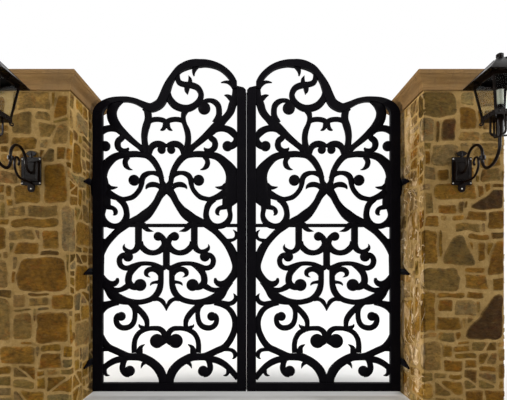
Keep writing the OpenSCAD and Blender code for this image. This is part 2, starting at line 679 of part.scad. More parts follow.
// Pyramid of sheet iron on a flat soffit, cut off at the finial
module pyramid(base, top, h) {
  hull() {
    translate([-base / 2, -base / 2, 0])
      cube([base, base, 0.01]);
    translate([-top / 2, -top / 2, h - 0.01])
      cube([top, top, 0.01]);
  }
}
module lantern_roof() {
  sheet = 0.35 * cage_bar;
  top = 2.2 * arm_d;
  opening = cage_top_w - 2 * cage_bar;
  color("#1c1c1e")
    at_lamp(eave_z + cage_bar)
      difference() {
        pyramid(roof_w, top, roof_h);
        translate([0, 0, sheet])
          pyramid(roof_w - 6 * sheet, top - sheet, roof_h - 2 * sheet);
        translate([-opening / 2, -opening / 2, -1])
          cube([opening, opening, sheet + 2]);
      }
}
module lantern_finial() {
  neck = 0.85 * arm_r;
  knob = 1.08 * arm_d;
  crown = 0.5 * arm_d;
  ball_r = (knob * knob + crown * crown) / (2 * crown);
  color("#1c1c1e")
    at_lamp(eave_z + cage_bar + roof_h) {
      cylinder(r = 2 * neck, h = neck, $fn = 64);
      translate([0, 0, neck])
        cylinder(r = knob, h = 2 * neck, $fn = 64);
      intersection() {
        translate([0, 0, 3 * neck + crown - ball_r])
          sphere(r = ball_r - 1, $fn = 64);
        translate([0, 0, 3 * neck])
          cylinder(r = knob, h = knob, $fn = 64);
      }
    }
}
module lantern_candle() {
  color("#d8d2c0")
    at_lamp(cage_z + candle_up)
      cylinder(r = candle_d / 2, h = candle_h, $fn = 48);
}

pier_shaft();  // left_pier_shaft
pier_cap();  // left_pier_cap
pintles();  // left_pintles
lantern_backplate();  // left_lantern_backplate
lantern_arm();  // left_lantern_arm
lantern_scroll();  // left_lantern_scroll
lantern_cradle();  // left_lantern_cradle
lantern_cage();  // left_lantern_cage
lantern_glass();  // left_lantern_glass
lantern_roof();  // left_lantern_roof
lantern_finial();  // left_lantern_finial
lantern_candle();  // left_lantern_candle
hinge_stile();  // left_hinge_stile
meeting_stile();  // left_meeting_stile
bottom_rail();  // left_bottom_rail
mid_rail();  // left_mid_rail
top_rail();  // left_top_rail
upper_scrolls();  // left_upper_scrolls
lower_scrolls();  // left_lower_scrolls
hinge_eyes();  // left_hinge_eyes
right_side() pier_shaft();  // right_pier_shaft
right_side() pier_cap();  // right_pier_cap
right_side() pintles();  // right_pintles
right_side() lantern_backplate();  // right_lantern_backplate
right_side() lantern_arm();  // right_lantern_arm
right_side() lantern_scroll();  // right_lantern_scroll
right_side() lantern_cradle();  // right_lantern_cradle
right_side() lantern_cage();  // right_lantern_cage
right_side() lantern_glass();  // right_lantern_glass
right_side() lantern_roof();  // right_lantern_roof
right_side() lantern_finial();  // right_lantern_finial
right_side() lantern_candle();  // right_lantern_candle
right_side() hinge_stile();  // right_hinge_stile
right_side() meeting_stile();  // right_meeting_stile
right_side() bottom_rail();  // right_bottom_rail
right_side() mid_rail();  // right_mid_rail
right_side() top_rail();  // right_top_rail
right_side() upper_scrolls();  // right_upper_scrolls
right_side() lower_scrolls();  // right_lower_scrolls
right_side() hinge_eyes();  // right_hinge_eyes
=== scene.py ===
import math
import bpy
import numpy as np
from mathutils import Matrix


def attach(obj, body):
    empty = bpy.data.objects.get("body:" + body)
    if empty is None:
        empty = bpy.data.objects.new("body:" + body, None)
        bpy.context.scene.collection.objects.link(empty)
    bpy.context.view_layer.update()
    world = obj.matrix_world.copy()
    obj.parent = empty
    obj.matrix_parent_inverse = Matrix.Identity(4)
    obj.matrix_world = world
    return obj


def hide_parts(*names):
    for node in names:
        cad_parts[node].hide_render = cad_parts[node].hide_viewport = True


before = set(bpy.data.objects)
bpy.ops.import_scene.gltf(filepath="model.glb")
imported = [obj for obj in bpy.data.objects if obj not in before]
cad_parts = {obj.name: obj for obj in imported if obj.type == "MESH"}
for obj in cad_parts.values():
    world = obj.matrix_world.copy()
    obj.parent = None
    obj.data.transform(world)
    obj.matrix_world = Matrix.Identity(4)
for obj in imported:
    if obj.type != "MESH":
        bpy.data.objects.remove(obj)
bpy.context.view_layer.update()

print("frame loaded:", len(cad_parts), "nodes")

sides = ("left", "right")
pierPitch = 3.865
gateMiddle = pierPitch / 2


def operator(kind, turned=False):
    # What one of Python's arithmetic signs does to a Wire; turned when the Wire stands on the sign's right
    def apply(self, other):
        # The Math node of that kind, both sides in their order
        if turned:
            return self.recipe.value(other).math(kind, self)
        return self.math(kind, other)
    return apply


class Wire:
    # A shader socket that can be added, multiplied and so on; each sum makes one Math node
    def __init__(self, recipe, socket):
        self.recipe, self.socket = recipe, socket

    def math(self, kind, *others, clamp=False):
        # One Math node of that kind, with this wire first and the others after it
        settings = dict(operation=kind, use_clamp=clamp)
        return self.recipe.node("ShaderNodeMath", settings, self, *others).out(0)

    __add__ = operator("ADD")
    __radd__ = operator("ADD")
    __sub__ = operator("SUBTRACT")
    __rsub__ = operator("SUBTRACT", turned=True)
    __mul__ = operator("MULTIPLY")
    __truediv__ = operator("DIVIDE")

    def clamp(self):
        # Held between 0 and 1
        return self.math("ADD", 0.0, clamp=True)

    def step(self, low, high):
        # 0 below low, 1 above high, straight between
        return ((self - low) / (high - low)).clamp()


class Made:
    # A node that was made
    def __init__(self, recipe, node):
        self.recipe, self.node = recipe, node

    def out(self, key=0):
        # One of its outputs, by place or name
        return Wire(self.recipe, self.node.outputs[key])


# Where the Mix node keeps its sockets for colours
mixPlace = dict(share=0, first=6, second=7, result=2)


class Recipe:
    # The node tree of one material, or of the world. node() is the only place where nodes are made
    def __init__(self, name, kind="materials"):
        self.owner = getattr(bpy.data, kind).new(name)
        self.owner.use_nodes = True
        self.tree = self.owner.node_tree
        self.tree.nodes.clear()
        self.end = self.node("ShaderNodeOutputWorld" if kind == "worlds" else "ShaderNodeOutputMaterial")

    def feed(self, target, source):
        # Links a wire, or the first output of a made node, into a socket; anything else becomes the socket's
        # value
        if isinstance(source, Made):
            source = source.out(0)
        if isinstance(source, Wire):
            self.tree.links.new(source.socket, target)
        elif source is not None:
            target.default_value = source

    def node(self, kind, settings=None, *inputs, **named):
        # A new node with its settings, then its sockets fed by place and by name (Base_Color is "Base Color")
        made = self.tree.nodes.new(kind)
        for key, value in (settings or {}).items():
            setattr(made, key, value)
        for place, source in enumerate(inputs):
            self.feed(made.inputs[place], source)
        for key, source in named.items():
            self.feed(made.inputs[key.replace("_", " ")], source)
        return Made(self, made)

    def value(self, number):
        # A plain number as a wire: number + 0
        return self.node("ShaderNodeMath", dict(operation="ADD"), number, 0.0).out(0)

    def place(self, stretch=(1, 1, 1)):
        # The spot on the object in metres, times a stretch along each axis
        spot = self.node("ShaderNodeTexCoord").out("Object")
        if stretch == (1, 1, 1):
            return spot
        return self.node("ShaderNodeVectorMath", dict(operation="MULTIPLY"), spot, stretch).out(0)

    def along(self, axis):
        # One coordinate of a spot on the object, 0 for x, 1 for y, 2 for z
        return self.node("ShaderNodeSeparateXYZ", None, self.place()).out(axis)

    def noise(self, spot, scale, detail, rough, warp=0.0):
        # Layered noise from 0 to 1 with scale waves a metre; warp bends it by itself
        sockets = dict(Vector=spot, Scale=scale, Detail=detail, Roughness=rough, Distortion=warp)
        return self.node("ShaderNodeTexNoise", None, **sockets).out(0)

    def cells(self, spot, scale, feature="F1"):
        # The distance to the nearest of many scattered points, scale of them a metre
        made = self.node("ShaderNodeTexVoronoi", dict(feature=feature), Vector=spot, Scale=scale)
        return made.out("Distance")

    def mix(self, share, first, second, blend="MIX"):
        # Two colours: first where share is 0, second blended over it where share is 1
        made = self.node("ShaderNodeMix", dict(data_type="RGBA", blend_type=blend))
        for key, source in dict(share=share, first=first, second=second).items():
            self.feed(made.node.inputs[mixPlace[key]], source)
        return made.out(mixPlace["result"])

    def layers(self, body, blend, *rows):
        # Colours laid over the body one by one with a blend, each row a share and a colour's three values
        for share, *tone in rows:
            body = self.mix(share, body, rgb(*tone), blend)
        return body

    def bump(self, height, depth, strength, under=None):
        # The normal bent by a height that rises depth metres a unit, over the bump under it
        sockets = dict(Strength=strength, Distance=depth, Height=height, Normal=under)
        return self.node("ShaderNodeBump", None, **sockets).out(0)

    def close(self, surface):
        # The surface goes to the tree's output
        self.feed(self.end.node.inputs[0], surface)
        return self.owner

    def finish(self, **sockets):
        # One Principled surface, then the output
        return self.close(self.node("ShaderNodeBsdfPrincipled", None, **sockets))

    def whiteRays(self):
        # 1 for the rays that should meet the white backdrop: the camera's own, and those in gloss and glass
        rays = self.node("ShaderNodeLightPath")
        seen = rays.out("Is Camera Ray").math("MAXIMUM", rays.out("Is Transmission Ray"))
        return seen.math("MAXIMUM", rays.out("Is Glossy Ray"))


def rgb(r, g, b):
    # A colour with full alpha
    return (r, g, b, 1.0)


ironFinish = dict(paint=rgb(0.0016, 0.0012, 0.0024), worn=rgb(0.0044, 0.0037, 0.0046), hammerDepth=0.0006)


def blackIron(name, roughness, shine, paint=ironFinish["paint"], worn=ironFinish["worn"]):
    # Black paint over hammered bar: shallow hammer marks, a fine grain, and thin patches that are less glossy
    r = Recipe(name)
    spot = r.place()
    marks = r.cells(spot, 55.0, "SMOOTH_F1")
    grain = r.noise(spot, 420.0, 3.0, 0.6)
    patches = r.noise(spot, 9.0, 5.0, 0.6)
    dust = r.noise(spot, 2.2, 4.0, 0.55)
    colour = r.mix(patches.step(0.52, 0.78) * 0.7, paint, worn)
    rough = roughness + patches * 0.14 + dust * 0.08
    rise = r.bump(marks, ironFinish["hammerDepth"], 0.55)
    fine = r.bump(grain, 0.00012, 0.6, rise)
    return r.finish(Base_Color=colour, Roughness=rough, Specular_IOR_Level=shine, Normal=fine)


def screwSteel():
    # Bare steel screw heads, dulled by the weather
    r = Recipe("screwSteel")
    spot = r.place()
    dull = r.noise(spot, 160.0, 4.0, 0.6)
    colour = r.mix(dull.step(0.4, 0.7), rgb(0.30, 0.285, 0.26), rgb(0.13, 0.11, 0.09))
    return r.finish(Base_Color=colour, Metallic=0.85, Roughness=0.34 + dull * 0.2)


stoneFinish = dict(grainDepth=0.0035, roughness=0.86, shine=0.05)
# Painted light makes the masonry lighter from 1.9 m up; the right pier's gateway face, x below 3.503, is
# crusted and broken, with painted highlights and painted shade
weatherAndLight = dict(paintedLightFrom=(1.9, 2.7), paintedLightGain=(1.17, 1.17, 1.17), roughFace=(3.520, 3.503))


def crustAndPaintedLight(r, body, share):
    # The right pier's gateway face under its crust: a slow noise gives a pale bloom where it is high, partly
    # lime crust and partly painted highlight, and dark hollows of painted shade where it is low, and up to
    # 2.3 m a thin ridge of painted highlight runs wherever a second noise crosses its middle
    east = r.along(0).step(*weatherAndLight["roughFace"]) * r.along(0).step(gateMiddle, gateMiddle + 0.2)
    crustAndSheen = r.noise(r.place((1.0, 1.0, 0.55)), 7.0, 6.0, 0.62, 0.9)
    highlightRidge = (r.noise(r.place((1.0, 1.0, 0.8)), 4.2, 3.0, 0.50, 0.8) - 0.5).math("ABSOLUTE").step(0.016, 0.003)
    highlightRidge = highlightRidge * r.along(2).step(2.45, 2.15)
    east = east * share
    # Painted highlight and painted shade: the bloom is partly crust, the hollows and the ridges are light and
    # shade
    body = r.layers(body, "MIX", (crustAndSheen.step(0.51, 0.64) * east * 0.76, 0.50, 0.355, 0.195))
    body = r.layers(body, "MULTIPLY", (crustAndSheen.step(0.47, 0.36) * east * 0.80, 0.32, 0.25, 0.18))
    body = r.layers(body, "MIX", (highlightRidge * east * 0.55, 0.80, 0.62, 0.40))
    return body, (crustAndSheen * 2.8 + highlightRidge * 0.5) * east


def rubbleStone():
    # Every stone carries its own tone in the attribute "tone", multiplied by light and dark streaks, golden
    # and rusty stains and sooty specks, with grey lichen laid over; the bump gives a split face with a fine
    # grain
    r = Recipe("rubbleStone")
    spot, flat = r.place(), r.place((1.0, 1.0, 2.4))
    tone = r.node("ShaderNodeAttribute", dict(attribute_name="tone")).out("Color")
    broad = r.noise(spot, 6.0, 6.0, 0.62, 0.7)
    streak = r.noise(flat, 16.0, 8.0, 0.68, 1.3)
    chips = r.cells(r.place((1.0, 1.0, 1.5)), 24.0, "SMOOTH_F1")
    grain = r.noise(spot, 95.0, 8.0, 0.76)
    sand = r.noise(spot, 260.0, 5.0, 0.75)
    gold = r.noise(spot, 7.0, 5.0, 0.6, 0.9).step(0.48, 0.64)
    rust = r.noise(spot, 10.5, 5.0, 0.65, 1.0).step(0.54, 0.68)
    lichen = r.noise(flat, 13.0, 7.0, 0.72, 0.8).step(0.55, 0.72)
    soot = r.noise(spot, 21.0, 7.0, 0.7, 0.6).step(0.52, 0.70)
    shade = (streak * 2.3 + broad * 1.5 + grain * 0.8 - 1.28).math("MAXIMUM", 0.22)
    body = r.mix(1.0, tone, r.node("ShaderNodeCombineColor", None, shade, shade, shade), "MULTIPLY")
    body = r.layers(
        body, "MULTIPLY",
        (gold * 0.75, 1.42, 1.36, 1.10),
        (rust * 0.70, 1.10, 0.72, 0.46),
        (soot * 0.80, 0.42, 0.42, 0.45))
    body = r.layers(body, "MIX", (lichen * 0.26, 0.140, 0.106, 0.046))
    # The last of these rows is painted light: the stones lighter from 1.9 m up
    body = r.layers(
        body, "MULTIPLY",
        (sand.step(0.58, 0.70) * 0.40, 1.5, 1.45, 1.3),
        (sand.step(0.42, 0.30) * 0.50, 0.50, 0.50, 0.52),
        (r.along(2).step(*weatherAndLight["paintedLightFrom"]), *weatherAndLight["paintedLightGain"]))
    # The gateway face's crust with its painted highlights and painted shade
    body, crustAndSheen = crustAndPaintedLight(r, body, 1.0)
    rise = r.bump(streak + broad * 0.8 + chips * 0.9 + crustAndSheen, stoneFinish["grainDepth"] * 3.6, 1.0)
    fine = r.bump(grain + sand * 0.35, stoneFinish["grainDepth"] * 0.8, 1.0, rise)
    rough = stoneFinish["roughness"] + grain * 0.12 - 0.06
    return r.finish(Base_Color=body, Roughness=rough, Specular_IOR_Level=stoneFinish["shine"], Normal=fine)


def mortarBed():
    # Lime mortar, smeared and full of coarse sand, with paler dried patches and earth-brown ones
    r = Recipe("mortarBed")
    spot = r.place()
    broad = r.noise(spot, 5.0, 5.0, 0.6)
    smear = r.noise(spot, 22.0, 6.0, 0.66, 1.2)
    grit = r.noise(spot, 120.0, 7.0, 0.76)
    sand = r.noise(spot, 300.0, 4.0, 0.72)
    body = r.mix(broad.step(0.35, 0.65), rgb(0.216, 0.133, 0.041), rgb(0.295, 0.192, 0.071))
    body = r.layers(
        body, "MIX",
        (smear.step(0.52, 0.72) * 0.55, 0.352, 0.242, 0.104),
        (smear.step(0.46, 0.30) * 0.5, 0.110, 0.066, 0.020))
    # The last of these rows is painted light: the mortar lighter from 1.9 m up
    body = r.layers(
        body, "MULTIPLY",
        (grit.step(0.55, 0.70) * 0.45, 1.45, 1.42, 1.35),
        (sand.step(0.45, 0.32) * 0.60, 0.48, 0.46, 0.42),
        (r.along(2).step(*weatherAndLight["paintedLightFrom"]), *weatherAndLight["paintedLightGain"]))
    # The gateway face's painted highlights and painted shade, weaker over the mortar
    body, crustAndSheen = crustAndPaintedLight(r, body, 0.4)
    rise = r.bump(smear + grit * 0.4 + crustAndSheen, 0.009, 0.9)
    fine = r.bump(sand, 0.0018, 0.8, rise)
    return r.finish(Base_Color=body, Roughness=0.93, Specular_IOR_Level=0.06, Normal=fine)


def capStone():
    # Brown sandstone: faint level bedding, weather stains that run down, grey lichen blots, pits and sand
    # grain, with painted shade where a face is turned to the gateway
    r = Recipe("capStone")
    spot = r.place()
    bedding = r.noise(r.place((0.8, 0.8, 11.0)), 5.0, 8.0, 0.70, 0.5)
    runs = r.noise(r.place((7.0, 7.0, 0.7)), 3.0, 6.0, 0.65)
    broad = r.noise(spot, 4.0, 7.0, 0.68, 0.6)
    lichen = r.noise(spot, 13.0, 8.0, 0.75, 0.5).step(0.58, 0.72)
    grit = r.noise(spot, 85.0, 8.0, 0.78)
    sand = r.noise(spot, 280.0, 4.0, 0.74)
    pits = r.cells(spot, 75.0).step(0.20, 0.08) * broad.step(0.50, 0.66)
    body = r.mix(bedding.step(0.36, 0.66), rgb(0.174, 0.096, 0.032), rgb(0.262, 0.153, 0.058))
    body = r.layers(
        body, "MIX",
        (broad.step(0.44, 0.68) * 0.6, 0.170, 0.106, 0.050),
        (runs.step(0.54, 0.76) * 0.45, 0.070, 0.048, 0.024),
        (lichen * 0.38, 0.225, 0.180, 0.104))
    # Painted shade: darker where a face is turned to the gateway
    facing = r.node("ShaderNodeSeparateXYZ", None, r.node("ShaderNodeNewGeometry").out("Normal")).out(0)
    paintedCapShade = (facing * (gateMiddle - r.along(0)).math("SIGN")).step(0.35, 0.75)
    body = r.layers(
        body, "MULTIPLY",
        (grit.step(0.56, 0.70) * 0.5, 1.4, 1.38, 1.3),
        (sand.step(0.44, 0.32) * 0.6, 0.50, 0.48, 0.46),
        (pits * 0.35, 0.45, 0.42, 0.40),
        (paintedCapShade, 0.66, 0.64, 0.62))
    rise = r.bump(bedding * 0.6 + broad + grit * 0.35 - pits * 0.5, 0.0055, 0.9)
    fine = r.bump(sand, 0.0014, 0.8, rise)
    return r.finish(Base_Color=body, Roughness=0.86, Specular_IOR_Level=0.08, Normal=fine)


def lanternPane():
    # Thin clear glass with a slight wave
    r = Recipe("lanternPane")
    wave = r.noise(r.place(), 14.0, 2.0, 0.5)
    return r.finish(Base_Color=rgb(0.93, 0.96, 0.95), Roughness=0.02, Transmission_Weight=1.0, IOR=1.10,
                    Normal=r.bump(wave, 0.0012, 0.25))


def candleWax():
    # A pale tube darkened as painted shade for the lantern's dim inside, with drips that run down it
    r = Recipe("candleWax")
    spot = r.place((1.0, 1.0, 0.25))
    drips = r.noise(spot, 60.0, 4.0, 0.55)
    # Painted shade: both tones darker than wax, for the shade inside the lantern
    body = r.mix(drips.step(0.4, 0.7) * 0.5, rgb(0.27, 0.262, 0.205), rgb(0.20, 0.188, 0.140))
    return r.finish(Base_Color=body, Roughness=0.42, Normal=r.bump(drips, 0.0015, 0.5))


lanternTones = dict(paint=rgb(0.0032, 0.0015, 0.0008), worn=rgb(0.0090, 0.0050, 0.0027))
finishes = {
    "black_iron": blackIron("blackIron", 0.42, 0.035),
    "lantern_iron": blackIron("lanternIron", 0.17, 0.045, **lanternTones),
    "screw_steel": screwSteel(),
    "rubble_stone": rubbleStone(),
    "mortar": mortarBed(),
    "cap_stone": capStone(),
    "lantern_glass": lanternPane(),
    "lantern_candle": candleWax(),
}
print("materials mixed:", len(finishes))


def fullTurn(count):
    # Angles evenly spaced round the full turn
    return np.linspace(0, 2 * np.pi, count, endpoint=False)


def joined(parts):
    # Several (points, [faces]) bodies as one: every later body's corner numbers move up by the points before
    # it
    points = np.concatenate([p for p, _ in parts])
    starts = np.cumsum([0] + [len(p) for p, _ in parts[:-1]])
    faces = [f + start for start, (_, group) in zip(starts, parts) for f in group if len(f)]
    return points, faces


def spread(*coordinates):
    # Three coordinates of shapes that fit each other, as one array of points
    return np.stack(np.broadcast_arrays(*coordinates), -1)


def gridFaces(rows, cols, closed=False):
    # Quads of a rows x cols grid of points, row by row; closed joins the last column to the first
    row = np.arange(rows - 1)[:, None] * cols
    col = np.arange(cols if closed else cols - 1)[None, :]
    nextRow, nextCol = row + cols, (col + 1) % cols
    return np.stack([row + col, row + nextCol, nextRow + nextCol, nextRow + col], -1).reshape(-1, 4)


def loft(rings):
    # A skin through rings (m, k, 3), with a fan of triangles from the middle of the first and of the last
    # ring
    m, k, _ = rings.shape
    middle = rings.mean(1)
    points = np.concatenate([rings.reshape(-1, 3), middle[:1], middle[-1:]])
    here = np.arange(k)
    ahead = (here + 1) % k
    first = np.stack([ahead, here, np.full(k, m * k)], -1)
    last = np.stack([here, ahead, np.full(k, m * k) - k], -1) + np.array([(m - 1) * k, (m - 1) * k, k + 1])
    return points, [gridFaces(m, k, True), first, last]


def flip(points):
    # Mirror image across the middle of the gateway
    return points * np.array([-1, 1, 1]) + np.array([2 * gateMiddle, 0, 0])


def makePiece(side, kind, parts, body, finish, tone=None, crease=40):
    # One visible piece from bodies built for the left side, smooth but for edges sharper than crease degrees.
    # The right side's is the mirror image, its faces turned round so that they still look outwards
    name = f"{side}_{kind}"
    points, faces = joined(parts)
    if side == "right":
        points, faces = flip(points), [f[:, ::-1] for f in faces]
    mesh = bpy.data.meshes.new(name)
    corners = np.concatenate([f.ravel() for f in faces])
    sizes = np.concatenate([np.full(len(f), f.shape[1]) for f in faces])
    mesh.vertices.add(len(points))
    mesh.vertices.foreach_set("co", points.astype(np.float32).ravel())
    mesh.loops.add(len(corners))
    mesh.loops.foreach_set("vertex_index", corners.astype(np.int32))
    mesh.polygons.add(len(sizes))
    mesh.polygons.foreach_set("loop_start", np.concatenate([[0], np.cumsum(sizes)[:-1]]).astype(np.int32))
    mesh.polygons.foreach_set("use_smooth", np.ones(len(sizes), bool))
    mesh.update(calc_edges=True)
    mesh.validate()
    mesh.set_sharp_from_angle(angle=math.radians(crease))
    if tone is not None:
        layer = mesh.attributes.new("tone", "FLOAT_COLOR", "POINT")
        layer.data.foreach_set("color", tone.astype(np.float32).ravel())
    piece = bpy.data.objects.new(name, mesh)
    bpy.context.scene.collection.objects.link(piece)
    mesh.materials.append(finishes[finish])
    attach(piece, body)
    return piece


pier = dict(
    half=0.3675, height=2.84, cells=24, rows=93, seed=dict(left=31, right=57),
    arris=0.024,            # radius of the pier's worn upright corners
    takenEdge=0.013,        # a cell whose middle is nearer than this to a listed stone is taken too
    thin=2,                 # a gap of fewer cells than this is too thin for a stone
    widths=([3, 4, 5, 6, 7, 8, 10, 12], [0.07, 0.12, 0.16, 0.18, 0.16, 0.13, 0.11, 0.07]),
    heights=([2, 3, 4, 5, 6, 8], [0.12, 0.22, 0.24, 0.20, 0.14, 0.08]),
    # A stone's side lines: the most of them, the most against listed stones, and how far they lean
    sides=9, clashes=4, lean=0.022,
    # Stones of more square metres than least may be split by a slanting line, so far off their middle
    split=dict(least=0.018, chance=0.42, slant=(0.35, 1.25), shift=0.14),
    neighbour=0.12,         # stones whose boxes are further apart share no joint
    handGrow=0.020, rubbleGrow=0.050,   # how far a stone may grow to meet its neighbours
    joint=0.0062, jointSpread=(0.7, 1.25),      # half a mortar joint's width, and the shares of it that occur
    leastSpots=16, leastHalf=0.0105,    # a smaller stone is left out
    arrisEdge=0.02,         # a stone nearer to an arris than this is bent round it
    smallStone=0.13, wellRounded=0.27,
    corners=dict(small=28, large=40, arris=46),     # points round a stone, by its size in metres
    # Rings of a stone from its middle outwards: share of the outline, distance back, depth below the face
    plainRings=dict(
        shares=[0.5, 1, 1, 1, 1], pulls=[0, 0.024, 0.011, 0.0036, 0],
        sinks=[0, 0.0003, 0.0025, 0.0064, 0.016]),
    arrisRings=dict(
        shares=[0.2, 0.4, 0.6, 0.8, 1, 1, 1, 1], pulls=[0, 0, 0, 0, 0.022, 0.011, 0.0036, 0],
        sinks=[0, 0, 0, 0, 0.0003, 0.0025, 0.0064, 0.016]),
    easeOver=0.05, easeLeast=0.15,      # the pulls shrink with an outline smaller than easeOver
    wobble=0.007, wobbleWaves=range(3, 10),
    # Ripples as seed, wave lengths and height: how joints stray along and climb, and how faces swell
    stray=(3, [0.34, 0.19], 0.010), climb=(4, [0.30, 0.17], 0.010), swell=(5, [0.15, 0.07, 0.034], 0.0020),
    sines=6, sinePeak=3.5,  # sine waves of each length, and what their sum seldom passes
    calmOver=0.08, endGap=0.003,        # the joints don't climb near the pier's foot and head
    # A face's depth behind the flat face: lift is its mean and spread, tilt and grain are spreads
    tilt=0.0022, tiltLimits=(-0.0022, 0.004), tiltLeast=0.03,
    lift=(0.0024, 0.0016), liftLimits=(0.0004, 0.0055), grain=0.0006,
    faceLimits=(0.0002, 0.0048), edgeLimits=(0.0002, 0.024), backDepth=0.045,
    mortarStep=(40, 150),   # columns on each face and rows
    mortarDepth=0.0088,     # how far the mortar sits behind the pier's flat face
    mortarAtArris=0.62, mortarOver=0.10, mortarWaves=([0.22, 0.09, 0.045], 0.0013),
    mortarLimits=(0.0044, 0.020),
    smear=(0.190, 0.118, 0.040), smearFrom=0.0008, smearOver=0.005, smearMost=0.6,     # mortar over the edges
    tones=dict(
        ochre=(0.115, 0.058, 0.007), tan=(0.125, 0.074, 0.020), greyOlive=(0.100, 0.060, 0.014),
        brown=(0.094, 0.044, 0.004), umber=(0.058, 0.030, 0.005), grey=(0.115, 0.075, 0.027),
        dark=(0.032, 0.015, 0.002), moss=(0.068, 0.041, 0.010)),
    toneShares=[0.22, 0.17, 0.17, 0.24, 0.07, 0.13, 0.0, 0.0],     # of the random stones, in the tones' order
    vary=0.14, varyLimits=(0.7, 1.4), varyHue=0.035, toneLeast=0.003,
    handSpread=0.3,         # listed stones keep closer to their tone
    # The gateway faces' stones are painted paler: painted light where they catch more light, with their
    # weathering
    gatewayPaintedLight=dict(left=(1.10, 1.14, 1.30), right=(1.55, 1.66, 2.30)), gatewayRough=2.2,    # painted light and weathering
    # Stones listed one by one: from and to along the face in mm from its outer edge, from and to in height,
    # tone, and how far the top's outer and gateway-side corners draw in, as shares of the stone's width
    laid=dict(
        left=[
            (578, 722, 2605, 2805, "brown", 0.35, 0.0), (262, 570, 2675, 2822, "tan", 0.0, 0.06),
            (205, 400, 2462, 2652, "moss", 0.05, 0.0), (422, 572, 2582, 2650, "tan", 0.0, 0.0),
            (440, 530, 2415, 2558, "greyOlive", 0.0, -1.1), (548, 715, 2362, 2548, "tan", 0.55, 0.0),
            (188, 452, 2305, 2432, "ochre", 0.1, 0.0), (468, 602, 2205, 2328, "moss", 0.45, 0.0),
            (480, 728, 1840, 2214, "brown", 0.1, 0.15), (226, 480, 1838, 2006, "ochre", 0.0, 0.05),
            (170, 345, 1720, 1806, "tan", 0.0, 0.0), (352, 620, 1720, 1814, "greyOlive", 0.0, 0.0),
            (200, 620, 1620, 1704, "ochre", 0.05, 0.0), (645, 865, 1403, 1825, "grey", 0.0, 0.1),
            (200, 443, 1515, 1605, "tan", 0.0, 0.1), (485, 636, 1431, 1605, "ochre", 0.0, 0.0),
            (210, 461, 1390, 1485, "brown", 0.1, 0.0), (245, 727, 1057, 1360, "brown", 0.06, 0.08),
            (361, 530, 920, 1010, "tan", 0.0, 0.05), (565, 812, 893, 1024, "ochre", 0.05, 0.0),
            (219, 390, 615, 871, "greyOlive", 0.05, 0.1), (405, 727, 595, 871, "brown", 0.08, 0.04),
            (15, 203, 615, 980, "tan", 0.0, 0.05), (104, 425, 410, 576, "ochre", 0.0, 0.08),
            (441, 660, 366, 512, "brown", 0.1, 0.0), (-110, 170, 2560, 2800, "ochre", 0.0, 0.1),
            (-90, 160, 1430, 1640, "brown", 0.0, 0.0), (-120, 200, 1090, 1330, "tan", 0.0, 0.1),
            (850, 1150, 2540, 2720, "grey", 0.1, 0.0), (780, 1010, 2140, 2420, "brown", 0.15, 0.1),
            (880, 1240, 1480, 1700, "ochre", 0.0, 0.1), (830, 1130, 1050, 1290, "brown", 0.1, 0.0),
            (850, 1210, 520, 760, "tan", 0.0, 0.1)],
        right=[
            (415, 835, 2612, 2830, "moss", 0.04, 0.0), (258, 424, 2485, 2690, "brown", 0.05, 0.05),
            (434, 576, 2404, 2600, "dark", 0.1, 0.0), (640, 802, 2392, 2602, "grey", 0.0, 0.0),
            (222, 414, 2395, 2482, "tan", 0.0, 0.1), (18, 204, 2500, 2668, "tan", 0.1, 0.1),
            (0, 254, 2688, 2825, "tan", 0.0, 0.0), (425, 672, 2176, 2365, "grey", 0.0, 0.1),
            (612, 730, 2040, 2167, "grey", 0.1, 0.0), (487, 608, 2046, 2150, "brown", 0.1, 0.1),
            (0, 308, 2262, 2380, "tan", 0.0, 0.2), (44, 220, 2040, 2150, "greyOlive", 0.0, 0.0),
            (230, 662, 1862, 2024, "ochre", 0.1, 0.04), (0, 362, 1784, 1960, "dark", 0.0, 0.66),
            (434, 600, 1742, 1834, "brown", 0.15, 0.1), (612, 716, 1735, 1935, "tan", 0.1, 0.0),
            (168, 370, 1682, 1775, "brown", 0.05, 0.15), (0, 158, 1614, 1775, "brown", 0.0, 0.1),
            (576, 716, 1622, 1724, "ochre", 0.05, 0.0), (221, 459, 1580, 1664, "greyOlive", 0.0, 0.1),
            (133, 335, 1512, 1579, "brown", 0.05, 0.15), (219, 594, 1282, 1562, "moss", 0.40, 0.36),
            (176, 250, 1315, 1508, "brown", 0.1, 0.1), (0, 175, 1196, 1510, "brown", 0.0, 0.45),
            (605, 785, 1310, 1598, "ochre", 0.0, 0.05), (390, 805, 1052, 1257, "greyOlive", 0.04, 0.0),
            (133, 362, 1069, 1221, "ochre", 0.15, 0.0), (0, 113, 1069, 1170, "brown", 0.0, 0.0),
            (363, 615, 994, 1055, "ochre", 0.0, 0.0), (186, 335, 994, 1050, "brown", 0.1, 0.1),
            (461, 601, 883, 990, "brown", 0.0, 0.05), (239, 459, 832, 990, "grey", 0.1, 0.1),
            (372, 617, 711, 844, "brown", 0.12, 0.0), (621, 795, 687, 1055, "ochre", 0.0, 0.0),
            (0, 408, 626, 1050, "dark", 0.0, 0.80), (443, 617, 600, 716, "greyOlive", 0.1, 0.2),
            (576, 805, 345, 616, "tan", 0.0, 0.04), (1030, 1275, 2168, 2287, "grey", 0.0, 0.0),
            (850, 1026, 2026, 2178, "umber", 0.1, 0.0), (983, 1250, 1800, 2014, "tan", 0.0, 0.1),
            (870, 1098, 1522, 1789, "brown", 0.0, 0.15), (938, 1250, 1256, 1520, "tan", 0.05, 0.0),
            (1006, 1275, 1120, 1218, "ochre", 0.0, 0.0), (1026, 1250, 970, 1115, "tan", 0.0, 0.0),
            (893, 1275, 545, 962, "ochre", 0.12, 0.0), (805, 930, 600, 1110, "brown", 0.0, 0.1),
            (850, 1250, 355, 525, "tan", 0.0, 0.05)]),
)


